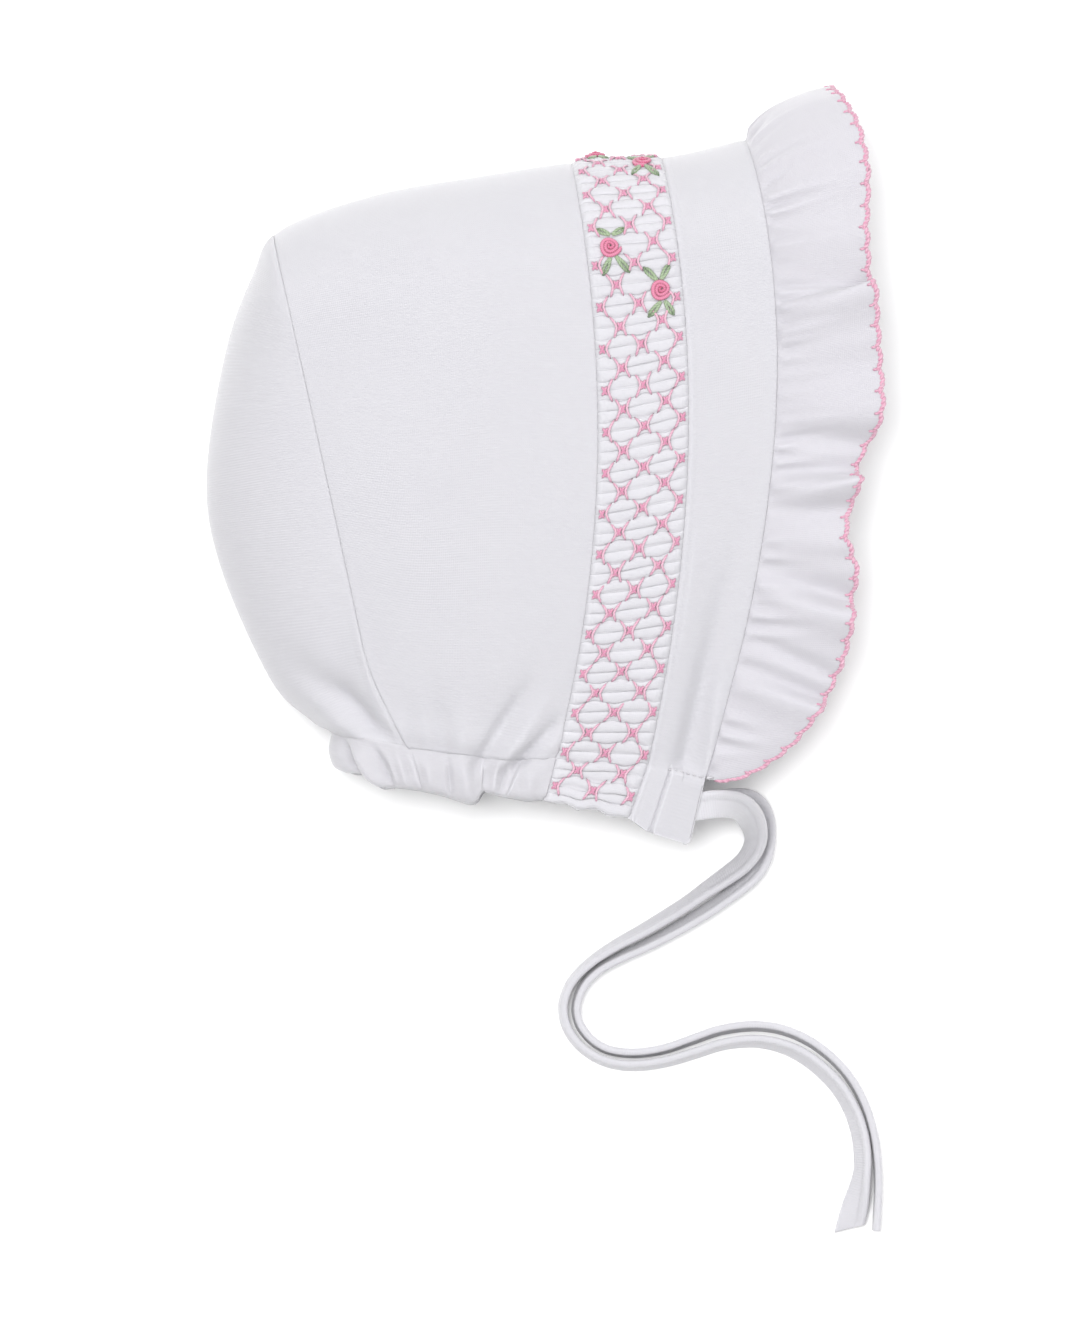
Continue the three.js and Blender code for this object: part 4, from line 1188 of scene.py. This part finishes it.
u = np.linspace(0.0004, 0.9996, EDGE_SAMPLES)
edge, edge_up = edge_middle(u, np.zeros(EDGE_SAMPLES))
inside, inside_up = edge_middle(u, np.full(EDGE_SAMPLES, 1.0))
edge_run = np.concatenate([[0], np.cumsum(np.linalg.norm(np.diff(edge, axis=0), axis=1))])
run = np.arange(0, edge_run[-1], CORD_STEP)


def along_edge(run, values):
    return np.column_stack([np.interp(run, edge_run, values[:, axis]) for axis in range(3)])


middle, up = along_edge(run, edge), along_edge(run, edge_up)
out = middle - along_edge(run, inside)
out /= np.linalg.norm(out, axis=1)[:, None]
middle += out * CORD_OUT
bm = thread_bmesh()
for strand in (0, 1):
    turn = run / CORD_PITCH * pi + strand * pi
    path = middle + (out * np.cos(turn)[:, None] + up * np.sin(turn)[:, None]) * CORD_TWIST
    # Each strand darkens on the inner half of its twist: painted shade.
    add_tube(bm, tube_rings(path, up + out * 0.01, tapered(len(run), CORD_STRAND), 6, flat=1.0),
             0.25 + 0.35 * (np.cos(turn) < 0))
tick_u = np.interp(np.arange(1, shell_count) / shell_count * plain_run[-1], plain_run, even_u)
tick_edge, tick_up = edge_middle(tick_u, np.zeros(len(tick_u)))
tick_in = edge_middle(tick_u, np.ones(len(tick_u)))[0] - tick_edge
tick_in /= np.linalg.norm(tick_in, axis=1)[:, None]
t = np.linspace(0, 1, 5)[:, None]
for start, inwards, over in zip(tick_edge, tick_in, tick_up):
    path = start + inwards * (TICK_LONG * t - CORD_OUT) + over * (RUFFLE_WALL / 2 + 0.12 - 0.25 * t ** 2)
    # Each tick darkens towards its inner end, where it dives in: painted shade.
    add_tube(bm, tube_rings(path, over, tapered(5, TICK_RADIUS), STRAND_SIDES), 0.3 + 0.4 * t[:, 0])
close_tubes(bm)
edging = link("shell_edging", bm, "pink_thread")
print("edging:", round(edge_run[-1]), "mm long")

# %% [markdown]
# ## Seam stitches
# A row of short white stitches holds the turned-up foot of the front band.

# %% Seam stitches
FOOT_STITCHES = (0.32, 0.97)
STITCH_LONG, STITCH_GAP, STITCH_RADIUS = 1.5, 0.8, 0.2

bm = thread_bmesh()
for side in (-1, 1):
    for start in np.arange(FOOT_STITCHES[0], FOOT_STITCHES[1], (STITCH_LONG + STITCH_GAP) / BAND_WIDTH):
        v = start + np.linspace(0, 1, 5) * STITCH_LONG / BAND_WIDTH
        u = np.full(5, (side / HEM_END + 1) / 2)
        on_cloth = laid_cloth(front_skin, CLOTH_WALL, front_relief, lambda a, b: 99 + 0 * b, u, v, np.zeros(5, bool))
        path = on_cloth + away(on_cloth) * (0.2 - 0.3 * np.linspace(-1, 1, 5) ** 2)[:, None]
        add_tube(bm, tube_rings(path, away(path), tapered(5, STITCH_RADIUS), STRAND_SIDES), np.full(5, 0.5))
close_tubes(bm)
seam_stitches = link("seam_stitches", bm, "white_thread")

# %% [markdown]
# ## Materials
# Shader maths reads as plain Python here: a small class wraps a socket, and an operator on two of them adds
# the Math node. Every material has the knit or the twist of its own thread, from the UV map in millimetres.

# %% A socket that does maths
class Socket:
    """A node's output, or a number, that grows Math nodes when it is used in an expression."""

    def __init__(self, tree, value):
        self.tree, self.value = tree, value

    def maths(self, operation, *others):
        return self.tree.node("ShaderNodeMath", {"operation": operation}, [self, *others]).out()

    def __add__(self, other):
        return self.maths("ADD", other)

    def __radd__(self, other):
        return Socket(self.tree, other).maths("ADD", self)

    def __sub__(self, other):
        return self.maths("SUBTRACT", other)

    def __rsub__(self, other):
        return Socket(self.tree, other).maths("SUBTRACT", self)

    def __mul__(self, other):
        return self.maths("MULTIPLY", other)

    def __rmul__(self, other):
        return Socket(self.tree, other).maths("MULTIPLY", self)

    def sine(self):
        return self.maths("SINE")


class Node:
    def __init__(self, tree, made):
        self.tree, self.made = tree, made

    def out(self, name=0):
        return Socket(self.tree, self.made.outputs[name])


CLOTH_DYE = 0.615
THROUGH_REACH = 1.2


class Tree:
    """The node tree of one material."""

    def __init__(self, name):
        material = bpy.data.materials.get(name) or bpy.data.materials.new(name)
        material.use_nodes = True
        self.nodes, self.links = material.node_tree.nodes, material.node_tree.links
        self.shader = self.nodes["Principled BSDF"]

    def plug(self, socket, value):
        if isinstance(value, Socket):
            value = value.value
        if isinstance(value, bpy.types.NodeSocket):
            self.links.new(value, socket)
        else:
            socket.default_value = value

    def node(self, kind, settings=None, inputs=()):
        made = self.nodes.new(kind)
        for name, value in (settings or {}).items():
            setattr(made, name, value)
        pairs = inputs.items() if isinstance(inputs, dict) else enumerate(inputs)
        for name, value in pairs:
            self.plug(made.inputs[name], value)
        return Node(self, made)

    def mix(self, factor, first, second):
        inputs = {0: factor, 6: first, 7: second}
        return self.node("ShaderNodeMix", {"data_type": "RGBA"}, inputs).out(2)

    def cloth_uv(self):
        split = self.node("ShaderNodeSeparateXYZ", {}, [self.node("ShaderNodeUVMap", {"uv_map": "cloth"}).out()])
        return split.out(0), split.out(1)

    def noise(self, scale, detail=2):
        place = self.node("ShaderNodeTexCoord").out("Object")
        return self.node("ShaderNodeTexNoise", {}, {"Vector": place, "Scale": scale, "Detail": detail}).out()

    def finish(self, color, height, strength, distance, roughness=0.85, sheen=0.25, through=0.7):
        raising = {"Strength": strength, "Distance": distance * MM, "Height": height}
        bump_node = self.node("ShaderNodeBump", {}, raising)
        self.plug(self.shader.inputs["Base Color"], color)
        self.plug(self.shader.inputs["Normal"], bump_node.out())
        self.plug(self.shader.inputs["Roughness"], roughness)
        self.shader.inputs["Sheen Weight"].default_value = sheen
        self.shader.inputs["Sheen Roughness"].default_value = 0.5
        self.shader.inputs["Specular IOR Level"].default_value = 0.2
        self.shader.inputs["Subsurface Weight"].default_value = through
        self.shader.inputs["Subsurface Radius"].default_value = (1, 1, 1)
        self.shader.inputs["Subsurface Scale"].default_value = THROUGH_REACH * MM


def linear(red, green, blue):
    """The dye that looks like a colour of 0 to 255 under this scene's bright light."""
    parts = [part / 255 for part in (red, green, blue)]
    seen = [part / 12.92 if part <= 0.04045 else ((part + 0.055) / 1.055) ** 2.4 for part in parts]
    return tuple(part * CLOTH_DYE for part in seen) + (1,)


# %% Jersey
RIB_PITCH, COURSE_PITCH = 0.62, 0.48


def jersey(name, light, shade):
    """Fine jersey: wales and courses of stitches, with a faint unevenness of the yarn."""
    tree = Tree(name)
    across, along = tree.cloth_uv()
    ribs = (across * (tau / RIB_PITCH)).sine()
    courses = (along * (tau / COURSE_PITCH)).sine()
    uneven = tree.noise(900)
    height = 0.5 + 0.3 * ribs + 0.15 * courses + 0.5 * uneven
    patches = tree.noise(60)
    tree.finish(tree.mix(patches * 0.5 + uneven * 0.3, light, shade), height, 0.35, 0.12)


# The same white jersey is given a different brightness on each piece: painted light makes the ties and the smocked
# band lighter than the panels, and painted shade makes the casing darker.
jersey("white_jersey", linear(228, 227, 232), linear(222, 221, 227))
jersey("smocked_jersey", linear(233, 232, 237), linear(227, 226, 232))
jersey("ruffle_jersey", linear(229, 227, 233), linear(223, 221, 228))
jersey("casing_jersey", linear(226, 225, 230), linear(220, 218, 224))
jersey("tie_jersey", linear(232, 231, 236), linear(226, 225, 231))

# %% Threads
def thread(name, light, deep, pitch, slant, strength=0.6, painted_groove_shade=0.0, girth=1.0):
    """Stranded cotton: strands slant round the thread with painted shade between them, and each tube's own darkness,
    deeper dye and painted shade where it dives in, is mixed in. A coil of that girth can also get painted shade in
    the grooves along both of its sides and painted light along its top."""
    tree = Tree(name)
    along, around = tree.cloth_uv()
    strands = ((along + around * slant) * (tau / pitch)).sine()
    dye_and_shade_amount = tree.node("ShaderNodeAttribute", {"attribute_name": "deep"}).out(2)
    sides = (around * (2 * tau / girth) + pi / 2).sine()
    # The mix factor holds painted shade between strands, in coil grooves and where the thread dives in, painted
    # light on a coil's top, deeper dye and random tone.
    shade = dye_and_shade_amount * 0.75 + 0.18 - 0.18 * strands + painted_groove_shade * sides + (tree.noise(500) - 0.5) * 0.35
    tree.finish(tree.mix(shade, light, deep), 0.5 + 0.5 * strands, strength, 0.12, roughness=0.6, sheen=0.3,
                through=0)


# The rose thread gets painted shade in the grooves between its wraps and painted light along their tops. The white
# thread's darker colour is painted shade alone; the other threads' darker colours stand for deeper dye and painted
# shade.
thread("pink_thread", linear(248, 208, 224), linear(226, 148, 180), 0.9, 0.8)
thread("rose_thread", linear(252, 160, 192), linear(208, 62, 112), 0.42, 0.15, 1.0, painted_groove_shade=0.28,
       girth=2 * pi * ROSE_COIL * 0.85)
thread("white_thread", linear(246, 245, 248), linear(205, 203, 210), 0.5, 0.6)
thread("leaf_thread", linear(188, 208, 172), linear(104, 126, 96), 0.8, 0.7)


# %% [markdown]
# ## Floor and light
# The bonnet lies on a white floor under soft studio light: a large lamp up and to the left gives the faint
# shadow to the lower right, and a bright white world fills the rest.

# %% Floor and light
scene = bpy.context.scene
scene.view_settings.view_transform = "Standard"
FLOOR_SIZE = 8
FLOOR_DROP = 0.0002

bm = bmesh.new()
bmesh.ops.create_grid(bm, x_segments=1, y_segments=1, size=FLOOR_SIZE / 2)
bmesh.ops.translate(bm, verts=bm.verts, vec=(0, 0, -FLOOR_DROP))
floor_mesh = bpy.data.meshes.new("floor")
bm.to_mesh(floor_mesh)
bm.free()
floor = bpy.data.objects.new("floor", floor_mesh)
scene.collection.objects.link(floor)
floor_material = bpy.data.materials.new("floor")
floor_material.use_nodes = True
floor_shader = floor_material.node_tree.nodes["Principled BSDF"]
floor_shader.inputs["Base Color"].default_value = (0.93, 0.93, 0.93, 1)
floor_shader.inputs["Roughness"].default_value = 1
floor_shader.inputs["Specular IOR Level"].default_value = 0
floor_mesh.materials.append(floor_material)

# Each row: name, place, size and power.
LAMPS = [
    ("key", (-0.20, 0.14, 2.2), 0.5, 28),
    ("softbox", (0.1, 0.3, 1.6), 2.4, 36),
]
WORLD_LIGHT = 0.45

for name, place, size, watts in LAMPS:
    lamp_data = bpy.data.lights.new(name, "AREA")
    lamp_data.size = size
    lamp_data.energy = watts
    lamp = bpy.data.objects.new(name, lamp_data)
    lamp.location = place
    lamp.rotation_mode = "QUATERNION"
    lamp.rotation_quaternion = (-Vector(place)).to_track_quat("-Z", "Y")
    scene.collection.objects.link(lamp)

world = bpy.data.worlds.new("world")
world.use_nodes = True
world.node_tree.nodes["Background"].inputs["Color"].default_value = (1, 1, 1, 1)
world.node_tree.nodes["Background"].inputs["Strength"].default_value = WORLD_LIGHT
scene.world = world
